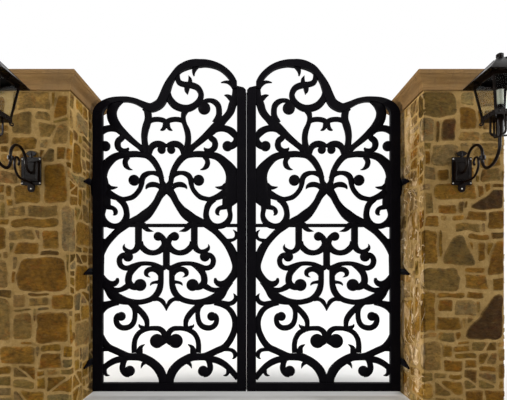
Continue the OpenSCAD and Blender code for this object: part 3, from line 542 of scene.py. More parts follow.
# The width of a pier's face, and the length of the strip that goes round its four faces
faceWidth = 2 * pier["half"]
stripLength = 4 * faceWidth


def edgesOf(corners):
    # Outward normals and offsets of the four sides of each (n, 4, 2) block, corners running anticlockwise
    side = np.roll(corners, -1, 1) - corners
    normal = np.stack([side[..., 1], -side[..., 0]], -1)
    normal /= np.linalg.norm(normal, axis=-1)[..., None]
    return normal, (normal * corners).sum(-1)


def layRubble(hand, rng):
    # The pier's four faces are one strip of small cells. Cells in or just beside a listed stone are taken.
    # The rest is laid from the ground up: a random width and height, cut to the free cells so that no thin
    # gap is left, and no joint closer than two cells to an arris where the cells there are free
    rows, around = pier["rows"], pier["cells"] * 4
    cell, course = faceWidth / pier["cells"], pier["height"] / pier["rows"]
    strip = cell * around
    z = (np.arange(rows)[:, None, None] + 0.5) * course
    s = (np.arange(around)[None, :, None] + 0.5) * cell
    normal, offset = edgesOf(hand)
    middle = hand.mean(1)[:, 0]
    near = (s - middle + strip / 2) % strip - strip / 2 + middle
    inside = np.ones((rows,) + near.shape[1:], bool)
    for n in range(4):
        inside &= near * normal[:, n, 0] + z * normal[:, n, 1] < offset[:, n] + pier["takenEdge"]
    taken = inside.any(-1)
    thin = pier["thin"]
    blocks = []

    def room(row, col, most):
        # How many cells are free from this one on, up to most
        free = 0
        while free < most and not taken[row, (col + free) % around]:
            free += 1
        return free

    for row in range(rows):
        start = rng.integers(around)
        ahead = range(start, start + around)
        start = next((c for c in ahead if taken[row, (c - 1) % around]), start) % around
        for step in range(around):
            col = (start + step) % around
            if taken[row, col]:
                continue
            want = rng.choice(pier["widths"][0], p=pier["widths"][1])
            free = room(row, col, want + 2 * thin)
            wide = free if free < want + thin else want
            corner = (col + wide) % pier["cells"]
            if corner in (0, 1, pier["cells"] - 1) and wide < free:
                wide = min(wide + (2 - corner) % pier["cells"], free)
            cols = (col + np.arange(wide)) % around
            want = rng.choice(pier["heights"][0], p=pier["heights"][1])
            tall = 1
            while tall < want + thin and row + tall < rows and not taken[row + tall, cols].any():
                tall += 1
            tall = tall if tall < want + thin else want
            taken[row:row + tall, cols] = True
            if wide * tall > 1:
                blocks.append((col, col + wide, row, row + tall))
    return np.array(blocks, float) * np.array([cell, cell, course, course])


def ontoPier(s, z, depth):
    # The strip folded round a square with rounded corners: straight along a face, a quarter arc at each
    # arris, and everything drawn towards the middle by depth
    h, r = pier["half"], pier["arris"]
    arc = r * np.pi / 4
    face = np.floor(s / faceWidth).astype(int) % 4
    along = s % faceWidth - h
    past = np.maximum(np.abs(along) - (h - arc), 0)
    angle = np.clip(past / arc, 0, 1) * np.pi / 4
    flat = np.clip(along, arc - h, h - arc) * (h - r) / (h - arc)
    side = flat + np.sign(along) * (r - depth) * np.sin(angle)
    reach = h - r + (r - depth) * np.cos(angle)
    x = np.choose(face, [side, reach, -side, -reach])
    y = np.choose(face, [-reach, side, reach, -side])
    return np.stack([x, y, z], -1)


def ripple(s, z, seed, waves, height):
    # A sum of sine waves in random directions and phases, the shorter the lower, with whole turns round the
    # pier
    rng = np.random.default_rng(seed)
    total = np.zeros(np.broadcast(s, z).shape)
    for wave in waves:
        for n in rng.integers(1, max(2, round(stripLength / wave)), pier["sines"]):
            phase = s * n / stripLength + z * rng.uniform(-1, 1) / wave + rng.uniform()
            total += np.sin(2 * np.pi * phase) * wave / waves[0] / pier["sinePeak"]
    return total * height


# A side line that cuts nothing, since it lies a million metres away
noLine = [1.0, 0.0, 1e6]


def chooseStones(side, rng):
    # Every stone as up to nine side lines n.p <= c: four of its own, one of a slanting split, and one for
    # each listed stone it would run into
    laid, split = pier["laid"][side], pier["split"]
    s0, s1, z0, z1 = np.array([row[:4] for row in laid], float).T / 1000
    draw = np.array([row[5:7] for row in laid], float) * (s1 - s0)[:, None]
    corners = [(s0, z0), (s1, z0), (s1 - draw[:, 1], z1), (s0 + draw[:, 0], z1)]
    hand = np.stack([np.stack(corner, -1) for corner in corners], 1)
    handNormal, handOffset = edgesOf(hand)
    blocks = layRubble(hand, rng)
    names = list(pier["tones"])
    lines, tones, boxes = [], [], []

    def keep(normals, offsets, tone, box):
        # Notes one stone, its side lines filled up with ones that cut nothing
        spare = pier["sides"] - len(offsets)
        lines.append(np.concatenate([np.column_stack([normals, offsets]), np.tile(noLine, (spare, 1))]))
        tones.append(pier["tones"][tone])
        boxes.append(box)

    for n in range(len(hand)):
        keep(handNormal[n], handOffset[n], laid[n][4], (s0[n], s1[n], z0[n], z1[n]))
    quarters = np.array([0, 0.5, 1, 1.5]) * np.pi
    for a, b, low, high in blocks:
        normals = [np.array([np.cos(t), np.sin(t)]) for t in quarters + rng.normal(0, pier["lean"], 4)]
        middle = np.array([(a + b) / 2, (low + high) / 2])
        spots = [(b, middle[1]), (middle[0], high), (a, middle[1]), (middle[0], low)]
        offsets = [normal @ np.array(spot) for normal, spot in zip(normals, spots)]
        clash = []
        for n in range(len(hand)):
            turn = stripLength * np.round((middle[0] - hand[n, :, 0].mean()) / stripLength)
            shape = hand[n] + np.array([turn, 0])
            beside = shape[:, 0].min() < b and shape[:, 0].max() > a
            if beside and shape[:, 1].min() < high and shape[:, 1].max() > low:
                moved = handOffset[n] + handNormal[n][:, 0] * turn
                best = int(np.argmax(handNormal[n] @ middle - moved))
                clash.append((-handNormal[n][best], -moved[best]))
        clash = clash[:pier["clashes"]]
        halves = [None]
        if (b - a) * (high - low) > split["least"] and rng.random() < split["chance"]:
            slant = rng.choice([-1, 1]) * rng.uniform(*split["slant"])
            across = np.array([np.cos(slant), np.sin(slant)])
            shift = rng.uniform(-split["shift"], split["shift"], 2) * np.array([b - a, high - low])
            cut = across @ (middle + shift)
            halves = [(across, cut), (-across, -cut)]
        for half in halves:
            extra = clash + ([half] if half else [])
            allNormals = np.array(normals + [e[0] for e in extra])
            allOffsets = np.array(offsets + [e[1] for e in extra])
            keep(allNormals, allOffsets, rng.choice(names, p=pier["toneShares"]), (a, b, low, high))
    return np.array(lines), np.array(tones), np.array(boxes), len(hand)


def heartOf(lines, boxes):
    # The mean of the spots of a stone's box that lie inside all its side lines, and how many of the 961 do
    a, b, low, high = (edge[:, None, None] for edge in boxes.T)
    grid = np.linspace(0.01, 0.99, 31)
    spots = spread(a + (b - a) * grid[:, None], low + (high - low) * grid).reshape(len(lines), -1, 2)
    inside = (np.einsum("nei,nki->nke", lines[..., :2], spots) < lines[:, None, :, 2] - 0.002).all(-1)
    count = inside.sum(1)
    return (spots * inside[..., None]).sum(1) / np.maximum(count, 1)[:, None], count


def reachOf(lines, middle, way, inset=0.0):
    # How far the outline is from the middle in each direction: the least of d_i / cos_i over the side lines
    far = lines[..., 2] - np.einsum("nei,ni->ne", lines[..., :2], middle) - inset
    lean = np.einsum("nei,nti->nte", lines[..., :2], way)
    return (np.maximum(far, 1e-4)[:, None, :] / np.maximum(lean, 1e-3)).min(-1)


def directions(count, total):
    # Count unit vectors round the full turn, repeated for each of total stones
    turn = fullTurn(count)
    return np.broadcast_to(np.stack([np.cos(turn), np.sin(turn)], -1), (total, count, 2))


def shareJoints(lines, boxes, byHand):
    # Two neighbours are parted by whichever of their side lines leaves the widest gap g. Both get a new side
    # line halfway across g, or a set distance from a listed stone, and their own lines then move out to
    # meet it
    total = len(lines)
    middle, _ = heartOf(lines, boxes)
    way = directions(48, total)
    rim = middle[:, None] + reachOf(lines, middle, way)[..., None] * way
    mid = (boxes[:, [0, 2]] + boxes[:, [1, 3]]) / 2
    size = (boxes[:, [1, 3]] - boxes[:, [0, 2]]) / 2
    one, two = np.triu_indices(total, 1)
    turns = np.round((mid[one, 0] - mid[two, 0]) / stripLength) * stripLength
    apart = np.abs(mid[one] - mid[two] - spread(turns, 0)) - size[one] - size[two]
    near = (apart < pier["neighbour"]).all(-1)
    one, two, turns = one[near], two[near], turns[near]
    moved = lines[two].copy()
    moved[..., 2] += moved[..., 0] * turns[:, None]
    across = rim[two] + spread(turns, 0)[:, None]
    gaps = [(np.einsum("qei,qti->qet", flat[..., :2], points) - flat[..., 2:]).min(-1)
            for flat, points in ((lines[one], across), (moved, rim[one]))]
    best = np.concatenate(gaps, 1).argmax(1)
    gap = np.concatenate(gaps, 1).max(1)
    sign = np.where(best < lines.shape[1], 1.0, -1.0)
    line = np.concatenate([lines[one], moved], 1)[np.arange(len(one)), best] * sign[:, None]
    onlyOne = (one < byHand) & (two >= byHand)
    onlyTwo = (two < byHand) & (one >= byHand)
    least = np.minimum(gap / 2, pier["handGrow"])
    share = np.select([onlyOne, onlyTwo], [least, gap - least], gap / 2)
    line[:, 2] += np.where(sign > 0, share, -(gap - share))
    back = -line
    back[:, 2] += line[:, 0] * turns
    owner, cuts = np.concatenate([one, two]), np.concatenate([line, back])
    order = np.argsort(owner, kind="stable")
    place = np.arange(len(owner)) - np.searchsorted(owner[order], owner[order])
    shared = np.tile(noLine, (total, place.max() + 1, 1))
    shared[owner[order], place] = cuts[order]
    most = np.where(np.arange(total) < byHand, pier["handGrow"], pier["rubbleGrow"])
    own = lines + np.array([0, 0, 1]) * most[:, None, None]
    top = np.tile([[0.0, 1.0, pier["height"]], [0.0, -1.0, 0.0]], (total, 1, 1))
    return np.concatenate([own, shared, top], 1)


def stoneShells(side):
    # Round each stone's middle the outline is the least reach of its side lines, R(t) = min d_i / cos_i,
    # blurred along t so that its corners come out rounded. Rings shrink from it towards the middle; the outer
    # ones sink into the mortar
    rng = np.random.default_rng(pier["seed"][side])
    lines, tones, boxes, byHand = chooseStones(side, rng)
    lines = shareJoints(lines, boxes, byHand)
    boxes = boxes + np.array([-1, 1, -1, 1]) * pier["rubbleGrow"]
    middle, count = heartOf(lines, boxes)
    inset = pier["joint"] * rng.uniform(*pier["jointSpread"], len(lines))
    far = (lines[..., 2] - np.einsum("nei,ni->ne", lines[..., :2], middle)).min(1) - inset
    use = (count > pier["leastSpots"]) & (far > pier["leastHalf"])
    toneSpread = np.where(np.arange(len(use)) < byHand, pier["handSpread"], 1.0)[use, None]
    lines, tones, middle, inset = lines[use], tones[use], middle[use], inset[use]
    total = len(lines)
    pointsAll, facesAll, toneAll, base = [], [[], []], [], 0
    way = directions(32, total)
    rim = reachOf(lines, middle, way, inset[:, None])[..., None] * way
    left, right = rim[..., 0].min(1) + middle[:, 0], rim[..., 0].max(1) + middle[:, 0]
    size = np.stack([np.ptp(rim[..., 0], 1), np.ptp(rim[..., 1], 1)], -1)
    firstFace = np.floor((left - pier["arrisEdge"]) / faceWidth)
    wraps = firstFace != np.floor((right + pier["arrisEdge"]) / faceWidth)
    rounded = rng.integers(0, 3, total)
    rounded[(size.mean(1) > pier["wellRounded"]) & (toneSpread[:, 0] < 1)] = 2
    small = size.mean(1) < pier["smallStone"]
    groups = dict(small=~wraps & small, large=~wraps & ~small, arris=wraps)
    for kind, group in groups.items():
        profile = pier["arrisRings" if kind == "arris" else "plainRings"]
        shares, pulls, sinks = (np.array(profile[key]) for key in ("shares", "pulls", "sinks"))
        n, angles, rings = int(group.sum()), pier["corners"][kind], len(shares)
        heart, extent = middle[group], size[group]
        turn = fullTurn(angles)
        way = np.stack([np.cos(turn) * np.sqrt(extent[:, :1]), np.sin(turn) * np.sqrt(extent[:, 1:])], -1)
        way /= np.linalg.norm(way, axis=-1)[..., None]
        outline = reachOf(lines[group], heart, way, inset[group][:, None])
        for again in range(2):
            blurred = outline / 2 + (np.roll(outline, 1, 1) + np.roll(outline, -1, 1)) / 4
            outline = np.where((again < rounded[group])[:, None], np.minimum(blurred, outline), outline)
        wobble = sum(rng.normal(0, pier["wobble"], (n, 1)) * np.cos(k * turn + rng.uniform(0, 6.28, (n, 1)))
                     for k in pier["wobbleWaves"])
        outline = outline * (1 + wobble)
        ease = np.clip(outline / pier["easeOver"], pier["easeLeast"], 1)
        radius = outline[:, None, :] * shares[:, None] - pulls[:, None] * ease[:, None, :]
        spot = heart[:, None, None] + radius[..., None] * way[:, None]
        spot = np.concatenate([spot.reshape(n, -1, 2), heart[:, None]], 1)
        sink = np.concatenate([np.repeat(sinks, angles), [0]])
        s, z = spot[..., 0], spot[..., 1]
        calm = np.clip(np.minimum(z, pier["height"] - z) / pier["calmOver"], 0, 1)
        stray, climb = ripple(s, z, *pier["stray"]), ripple(s, z, *pier["climb"]) * calm
        s, z = s + stray, np.clip(z + climb, pier["endGap"], pier["height"] - pier["endGap"])
        tilt = rng.normal(0, pier["tilt"], (n, 2, 1))
        flat = (spot - heart[:, None]) / np.maximum(extent.mean(1) / 2, pier["tiltLeast"])[:, None, None]
        lift = np.clip(rng.normal(*pier["lift"], (n, 1)), *pier["liftLimits"])
        gateway = (np.floor(heart[:, 0] / faceWidth).astype(int) % 4 == 1)[:, None]
        rough = np.where(gateway, pier["gatewayRough"], 1.0)
        depth = lift + np.clip((flat * tilt.transpose(0, 2, 1)).sum(-1), *pier["tiltLimits"]) * rough
        depth = depth + (ripple(s, z, *pier["swell"]) + rng.normal(0, pier["grain"], s.shape)) * rough
        depth = np.clip(np.clip(depth, *pier["faceLimits"]) + sink, *pier["edgeLimits"])
        front = ontoPier(s, z, depth)
        back = ontoPier(s[:, -1:], z[:, -1:], np.full((n, 1), pier["backDepth"]))
        each = rings * angles + 2
        quads = gridFaces(rings, angles, True)[:, ::-1]
        here = np.arange(angles)
        ahead = (here + 1) % angles
        centre = np.stack([ahead, np.full(angles, rings * angles), here], -1)[:, ::-1]
        outer = (rings - 1) * angles
        behind = np.stack([here + outer, np.full(angles, each - 1), ahead + outer], -1)[:, ::-1]
        shift = (np.arange(n) * each)[:, None, None] + base
        pointsAll.append(np.concatenate([front, back], 1).reshape(-1, 3))
        facesAll[0].append((quads + shift).reshape(-1, 4))
        facesAll[1].append((np.concatenate([centre, behind]) + shift).reshape(-1, 3))
        vary = np.clip(rng.normal(1, pier["vary"], (n, 1)), *pier["varyLimits"])
        vary = vary * (1 + rng.normal(0, pier["varyHue"], (n, 3)))
        # Painted light: the gateway faces' stones made paler
        gatewayLight = np.where(gateway, np.array(pier["gatewayPaintedLight"][side]), 1.0)
        vary = (1 + (vary - 1) * toneSpread[group]) * gatewayLight
        tone = np.repeat(np.clip(tones[group] * vary, pier["toneLeast"], 1)[:, None], each, 1)
        smear = (np.append(sink, 0) - pier["smearFrom"]) / pier["smearOver"]
        smear = np.clip(smear, 0, pier["smearMost"])[None, :, None]
        tone = tone * (1 - smear) + np.array(pier["smear"]) * smear
        toneAll.append(np.concatenate([tone, np.ones((n, each, 1))], -1).reshape(-1, 4))
        base += n * each
    return np.concatenate(pointsAll), [np.concatenate(f) for f in facesAll], np.concatenate(toneAll), total


def mortarCore(side):
    # The pier behind the stones: the strip folded round, a little behind the flat face, less so at the
    # arrises, and uneven
    cols, rows = pier["mortarStep"]
    around = np.linspace(0, stripLength, cols * 4, endpoint=False)
    s, z = np.meshgrid(around, np.linspace(0, pier["height"], rows))
    arris = np.abs(s - np.round(s / faceWidth) * faceWidth)
    depth = pier["mortarDepth"] * np.clip(pier["mortarAtArris"] + arris / pier["mortarOver"], 0, 1)
    depth = depth + ripple(s, z, pier["seed"][side], *pier["mortarWaves"])
    return loft(ontoPier(s, z, np.clip(depth, *pier["mortarLimits"])))


for side in sides:
    points, faces, tone, count = stoneShells(side)
    core = mortarCore(side)
    makePiece(side, "pier_stones", [(points, faces)], "piers", "rubble_stone", tone)
    bed = makePiece(side, "pier_mortar", [core], "piers", "mortar")
    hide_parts(f"{side}_pier_shaft")
    print(side, "pier laid:", count, "stones,", len(faces[0]) * 2 + len(faces[1]), "triangles")


leaf = dict(
    left=0.3995, ground=0.04, axis=0.732, y=0.085, plate=0.008, unit=0.01,
    swell=0.0075,        # height of the rounded face over a bar 60 mm wide
    cover=0.955,         # share of the bar's width that is rounded
    steps=3,             # rings for each of a stroke's points
    # The rounding falls over endLength units at a stroke's ends, to these shares of its width and height
    endLength=2.0, endWidth=0.35, endHeight=0.05,
    leastHalf=0.05, usualHalf=3.0, heightShares=(0.02, 1.8), oval=0.8, root=0.003,
    bossRise=0.42, bossLimit=0.0155, bossWidth=0.97, bossFoot=0.9, bossSunk=0.001,
    field=(-66.5, 73.5),
)

scrollWork = {
    "pairedUpper": [
        [(0, 200, 3.5), (1.8, 204, 3.6), (4.3, 208.7, 2.6), (5.5, 214.7, 2.7), (7.4, 220.4, 2.9),
         (10.8, 226.7, 3.1), (14.9, 231.9, 3.3), (19.6, 235.2, 3.2), (25.1, 235.9, 2.8), (30.6, 236.6, 3.1),
         (38.1, 236.2, 3.2), (45.6, 235.5, 3.4), (52.2, 233.2, 3.8), (58.1, 228.2, 4.5), (63.1, 222.2, 5.7),
         (66.6, 214.7, 7.4), (67.6, 206.7, 9), (66.6, 198.7, 9), (63.5, 191.5, 8), (60.5, 185.5, 4),
         (57, 183.6, 2.6), (53.5, 182.6, 2.2), (51.3, 180.6, 2.2), (50.9, 178, 2.2), (51.9, 176.2, 1.2),
         (53.3, 175.6, 0.3)],
        [(0, 205, 4.5), (3, 200, 4.4), (6.8, 194.7, 3.6), (9.9, 188.7, 3.4), (14.8, 181.6, 4.1),
         (20, 176.3, 5.2), (26.5, 171.8, 5), (34.2, 169.6, 3.2), (41.6, 164.6, 3.3)],
        [(4, 212, 2.5), (7, 215.5, 2.5), (10.5, 217.3, 2.4), (14.5, 217.8, 2), (18.5, 217.2, 2.4),
         (22.2, 215, 2.8), (24.2, 211.5, 2.8), (24.8, 207, 2.6), (26, 202.8, 2.3), (27.8, 199.6, 2.4),
         (30.8, 196, 2.4), (34.5, 193.3, 2.5), (39.2, 192, 2.3), (44, 191.3, 2.6), (50, 193.3, 3),
         (56, 196, 4), (61, 199, 4.5)],
        [(3, 199.5, 3), (6.5, 204, 2.6), (11, 206, 2.6), (15.5, 206, 2.6), (19, 204.3, 1.8),
         (20.7, 201.5, 0.2)],
        [(38, 234, 2.2), (40.6, 231, 2.5), (41.2, 227.5, 2.6), (39.9, 224.2, 2.4), (37, 221.8, 1.3),
         (33.8, 220.9, 0.2)],
        [(0.6, 243, 3), (3.6, 245.6, 3), (7.6, 246.7, 3.2), (11.8, 246, 3.2), (15, 243.4, 3.1),
         (16.6, 239.5, 2.8), (18, 235, 3)],
        [(52.5, 269, 3), (47.5, 262, 4.4), (40.9, 255.9, 3.6), (35.7, 251.2, 3.2), (30.7, 247, 2.9),
         (26.7, 243.8, 2.9), (21.5, 239.5, 4)],
        [(43, 257.5, 2), (44.4, 253, 2.9), (47.8, 250, 3), (48.8, 246, 3.1), (47.3, 242, 2.9), (43, 240, 2.2),
         (39, 241, 1.6), (37.8, 243, 0.5)],
        [(44, 259, 3.5), (50, 262, 3.5), (56, 262.4, 3.2), (61.5, 261.2, 3.3), (66.3, 258.2, 3.6),
         (69.8, 253.5, 3), (70, 249.5, 3.4), (67.5, 246, 3.4), (63, 244, 3.4)],
        [(1.2, 270.4, 2.2), (1.6, 266, 2), (2.2, 263, 2), (4, 261.2, 1.4), (6.1, 260.3, 0.3)],
        [(0.4, 268.8, 2.2), (3, 270.3, 2.4), (7, 271.2, 2.4), (11.5, 271.2, 2.4), (16, 270, 2.4),
         (18.5, 267, 2.3)],
        [(22, 283, 3), (18.3, 278.7, 3), (17, 274.5, 2.5), (17.3, 270, 2.4), (18.6, 265.5, 2.5),
         (20.8, 260, 3), (21.8, 254, 3), (21.6, 248, 3.1), (20.5, 241, 3.6), (18.5, 235, 3)],
        [(47.5, 192, 3.4), (44, 188.5, 3), (41.2, 184.2, 3), (39.9, 179, 2.8), (39.8, 174.5, 3.1),
         (41.5, 169.5, 3.4), (46, 165.5, 3), (52, 164.3, 2.9), (58, 166, 3.2), (62.3, 170.2, 3),
         (63.9, 175.5, 2.5), (63.1, 180.5, 2.6), (62.5, 186, 3.5)],
        [(27.9, 172, 3.4), (27.9, 166, 3.4), (27.9, 160, 3.4)],
        [(60, 205, 3.4), (56, 203, 2.2), (52, 203, 1.3), (48.8, 203.7, 0.3)],
        [(60.5, 196, 4), (58.6, 190, 2.8), (58.8, 184, 3)],
    ],
    "pairedUpperBalls": [(32.3, 210.4, 5.5), (4.8, 240.9, 4.1), (61.1, 244.5, 5.1)],
    "crownBars": [
        [(1.2, 306, 2.9), (1, 300, 3.2), (2.1, 294, 3.5), (4.6, 289.5, 3.7), (8.8, 285.2, 3.8),
         (14.9, 282.6, 3.7), (21.5, 282.2, 3.6), (27, 284.3, 3.3), (31.4, 288, 3), (34.2, 292.4, 2.9),
         (34.5, 297.3, 2.9), (31.8, 302.2, 3), (27.6, 304.6, 3.1), (22.5, 305.7, 3), (17.4, 306.3, 2.7),
         (12.9, 308.2, 2.8), (11.2, 312.4, 2.6), (10.4, 317, 3)],
        [(23.5, 306, 2.4), (23.8, 310.5, 2), (23, 313.2, 1), (22.1, 315, 0.1)],
        [(20.8, 304.5, 2.8), (20.4, 300.2, 2.4), (20.9, 297.8, 1.2), (21.2, 296, 0.1)],
        [(31, 325.5, 2.8), (28.3, 321.8, 2.4), (27.2, 318, 1.5), (27.6, 314.8, 0.7)],
        [(36, 286.5, 2.6), (39.3, 289.5, 2.2), (43.5, 290.2, 2.1), (48, 288.8, 2.7), (51.6, 285.2, 3),
         (52.7, 280, 3), (52.3, 274, 3.2), (49.5, 267.5, 4)],
        [(69.4, 303, 3.2), (69, 293, 4), (66.2, 286, 4.1), (64.4, 280, 3.9), (61.6, 275.5, 3.6),
         (57.8, 271.3, 3.6), (53.4, 267, 4.5), (47.5, 261.5, 4.4)],
        [(69, 303, 3.5), (65.8, 306.3, 2.6), (61.5, 308.4, 1.6), (58, 308.6, 1), (54.5, 308, 0.2)],
        [(68, 289, 3.5), (63.8, 292.8, 2.6), (60.6, 294.8, 1.5), (57.8, 295.4, 0.1)],
    ],
    "crownBalls": [(37.8, 282.3, 6.2)],
    "shoulderBars": [
        [(-21, 283, 2.4), (-19.4, 277, 2.6), (-19.4, 271, 2.4), (-21.4, 264, 2.6), (-22.6, 256, 2.6),
         (-22.2, 249, 2.6), (-21, 242, 3)],
        [(-44, 290.6, 2.4), (-50.5, 286.5, 4.2), (-54.2, 280.5, 4.9), (-54.4, 274.5, 5), (-52.5, 269, 5),
         (-48, 262.5, 4.6), (-41, 256, 3.6)],
    ],
    "pairedLower": [
        [(23.8, 168, 3.4), (22, 164, 2.8), (18.4, 160.7, 2), (12.9, 159.3, 0.2)],
        [(0, 51.5, 3.2), (4, 48.4, 3), (8, 45.4, 2.2)],
        [(34.2, 169.6, 3.2), (41.6, 164.6, 3.3), (48.6, 159.7, 3.3), (53.6, 154.8, 3.3), (58.6, 149.3, 3.5),
         (62.8, 144.2, 4.2), (66.2, 137.7, 4.4), (68.8, 130.7, 4.4), (69.9, 124.5, 4.2), (68.8, 118.5, 4.2),
         (65.6, 113.4, 4), (61.5, 109, 3.8), (57, 106.8, 3.4), (52.5, 106.9, 3), (49.4, 109.4, 2.2),
         (48.9, 112.8, 1)],
        [(27.9, 166, 3.4), (27.9, 158, 3.4), (27.9, 150, 3.4), (28.1, 146, 3.3), (30, 141.6, 2.9),
         (34, 139, 2.4), (38.6, 139.5, 2.3), (41.8, 142, 1.8), (42.5, 144.4, 1), (41.8, 146.8, 0.1)],
        [(7, 156, 2.6), (4, 152.8, 3), (2, 149, 3), (2.2, 145.5, 3), (4.3, 142, 3.1), (7.6, 139.4, 2.9),
         (11.5, 138, 2.7), (15.5, 138, 2.8), (19.3, 139.2, 2.9), (22.7, 141.8, 3), (25.4, 145, 3),
         (26.5, 149, 3)],
        [(0, 149, 3.4), (0, 136, 3.4), (0, 123.5, 3.4)],
        [(0, 124.8, 2.4), (4, 122.5, 2.8), (8, 123.9, 2.8), (13, 126.4, 2.3), (20.5, 127.3, 2.2),
         (27, 126.6, 2.4), (32.5, 124.6, 2.8), (38, 122.7, 2.7), (42.5, 123, 2.6), (45.8, 125.5, 2.7),
         (47, 129.5, 2.7), (46.3, 132.8, 2.6), (43.5, 135.6, 2.5), (39.5, 136.5, 2)],
        [(5, 123, 2.5), (5.4, 118, 2.7), (5.5, 113, 2.8), (5.6, 107.5, 2.8), (6.5, 103, 3.1), (8, 99, 3.2),
         (10.8, 95, 3.1), (14.8, 91.9, 2.8), (19.3, 90, 2.7), (26, 88.6, 2.7), (32, 88.5, 2.9),
         (38, 89.2, 3.4), (44, 90.6, 4.4), (50, 93, 5.2), (54.4, 96.4, 4.8), (57.6, 101, 4), (61, 105.2, 3.2),
         (64.5, 109.5, 3)],
        [(6, 116.5, 2.8), (8.6, 119.6, 2.8), (12.6, 121.5, 2.8), (16.8, 121.2, 2.7), (19.8, 119.1, 2.5),
         (20, 116.2, 2), (18.4, 114.4, 1), (16.1, 113.4, 0.2)],
        [(6.5, 108.6, 2.4), (10.5, 108.5, 1.6), (13.6, 107.8, 1.4), (15.4, 106.5, 0.9), (15.9, 105, 0.2)],
        [(25, 127, 2), (29.5, 124.9, 2.9), (33.6, 121.3, 3.2), (36.6, 117.2, 3.2), (37.8, 113, 3.3),
         (37.8, 109, 3.4), (36, 105.7, 3.5), (32, 103.6, 3.2), (27, 103.8, 3)],
        [(36, 106.5, 3.3), (41, 103.2, 2.9), (46, 100.9, 2.5), (52, 100.3, 3), (58, 101.5, 4)],
        [(13, 91.5, 2.2), (9, 91.8, 2.1), (5.6, 90.6, 2.1), (3, 88.2, 2.1), (1.2, 84.6, 1.4), (0, 79.8, 0.2)],
        [(48, 88.5, 3), (54, 87, 3), (58.8, 84.6, 2.7), (62, 82.3, 2.6), (65.3, 78.5, 2.8), (68, 72.5, 2.9),
         (68.8, 66, 3.1), (67.8, 60, 3.2), (65.5, 54, 3.3), (62.2, 48.3, 3.3), (57.5, 43.2, 3.4),
         (50.6, 40, 3.3), (44, 36.9, 3.3), (38.5, 34.3, 3.6), (33, 33.9, 3.5), (25.5, 33.7, 4),
         (18.5, 30.6, 4.2), (12, 26.2, 4.3), (6.6, 20, 4.6), (3.4, 12, 4.3), (3.2, 6, 4.3)],
        [(54, 88, 2.6), (58.5, 87.4, 2.4), (63, 87, 2.3), (67, 88.6, 2.4), (69.2, 92, 2.2), (68.4, 95.4, 1.2),
         (66.8, 97.2, 0.2)],
        [(60, 149.5, 2.5), (64, 150.3, 1.9), (68, 151.6, 1.6), (70.2, 155, 1.9), (68.9, 158.8, 1.2),
         (66.4, 161, 0.1)],
        [(37.5, 89, 3), (33, 85.6, 3), (27.5, 81, 2.9), (22.8, 75.8, 3), (20, 71, 2.7), (19.3, 66, 2.3),
         (20, 61.5, 2.5)],
        [(36, 88, 3), (32.8, 83.5, 2.4), (31.4, 79, 2.4), (31.4, 75, 2.4), (31.9, 71, 2.5), (33.5, 67, 2.6),
         (36.4, 64.2, 2.7), (40.5, 62.9, 2.8), (45, 63.2, 2.7), (48.6, 65.8, 2.7), (50.1, 69.5, 2.6),
         (49.8, 73.5, 2.6), (47.5, 76.1, 2.4)],
        [(2, 50, 2.5), (1.5, 54.5, 2.8), (3.2, 59, 2.8), (7, 61.9, 2.6), (11, 62.4, 2.4), (16, 62.3, 2.3),
         (21, 61.2, 2.4), (25, 59.4, 2.5), (28.3, 56.7, 2.5), (31.2, 51.5, 2.5), (32.2, 45, 2.6),
         (31.8, 38, 2.8)],
        [(27, 35, 3), (26.7, 39.6, 3), (25.5, 43.6, 2), (21.5, 46.4, 0.2)],
        [(22, 62, 2.4), (24.6, 63.3, 2), (26.8, 64.8, 1.1), (27.4, 66.8, 0.2)],
        [(40.6, 35, 2.8), (42, 31, 2.8), (43.3, 27, 2.8), (43.9, 23, 2.9), (43, 19.4, 2.8), (40.4, 16.8, 2.8),
         (37.2, 16.4, 2.8)],
        [(36, 34.3, 3), (43, 32, 3.2), (49.8, 30.6, 3.2), (56, 27.8, 3.1), (61.6, 23.6, 2.9),
         (66.5, 18.3, 2.8), (71.5, 12.4, 2.8)],
        [(62, 22.5, 2.4), (61.6, 18.4, 1.9), (60, 15.8, 1.3), (56.9, 15.2, 0.2)],
        [(20, 29.5, 2.5), (23.6, 26.6, 1.6), (25.3, 22.4, 0.2)],
        [(54, 41.5, 2.2), (60.5, 41.4, 1.9), (65.5, 40.5, 1.9), (68.2, 38, 2.2), (68.6, 35, 2.1),
         (67.2, 32.7, 1), (65.6, 31.8, 0.1)],
    ],
    "pairedLowerBalls": [
        (8.2, 154.3, 4.5), (38.4, 134, 5), (26.2, 105.7, 6.1), (45.3, 74.3, 4.5), (9.3, 49.7, 7.1),
        (36.8, 19.7, 5.2)],
}


def smoothRun(stroke):
    # Catmull-Rom curve through the stroke's (u, v, half width) points
    p = np.array(stroke, float)
    q = np.concatenate([p[:1], p, p[-1:]])
    t = np.linspace(0, 1, leaf["steps"], endpoint=False)[:, None, None]
    a, b, c, d = q[:-3], q[1:-2], q[2:-1], q[3:]
    bend, twist = 2 * a - 5 * b + 4 * c - d, 3 * b - a - 3 * c + d
    curve = 0.5 * (2 * b + (c - a) * t + bend * t ** 2 + twist * t ** 3)
    return np.concatenate([curve.transpose(1, 0, 2).reshape(-1, 3), p[-1:]])


def onLeaf(u, v, out, face):
    # Leaf coordinates, and a distance out from the plate's face towards the viewer (face -1) or away (face 1)
    return spread(leaf["left"] + leaf["axis"] + u * leaf["unit"], leaf["y"] + face * (leaf["plate"] + out),
                  leaf["ground"] + v * leaf["unit"])


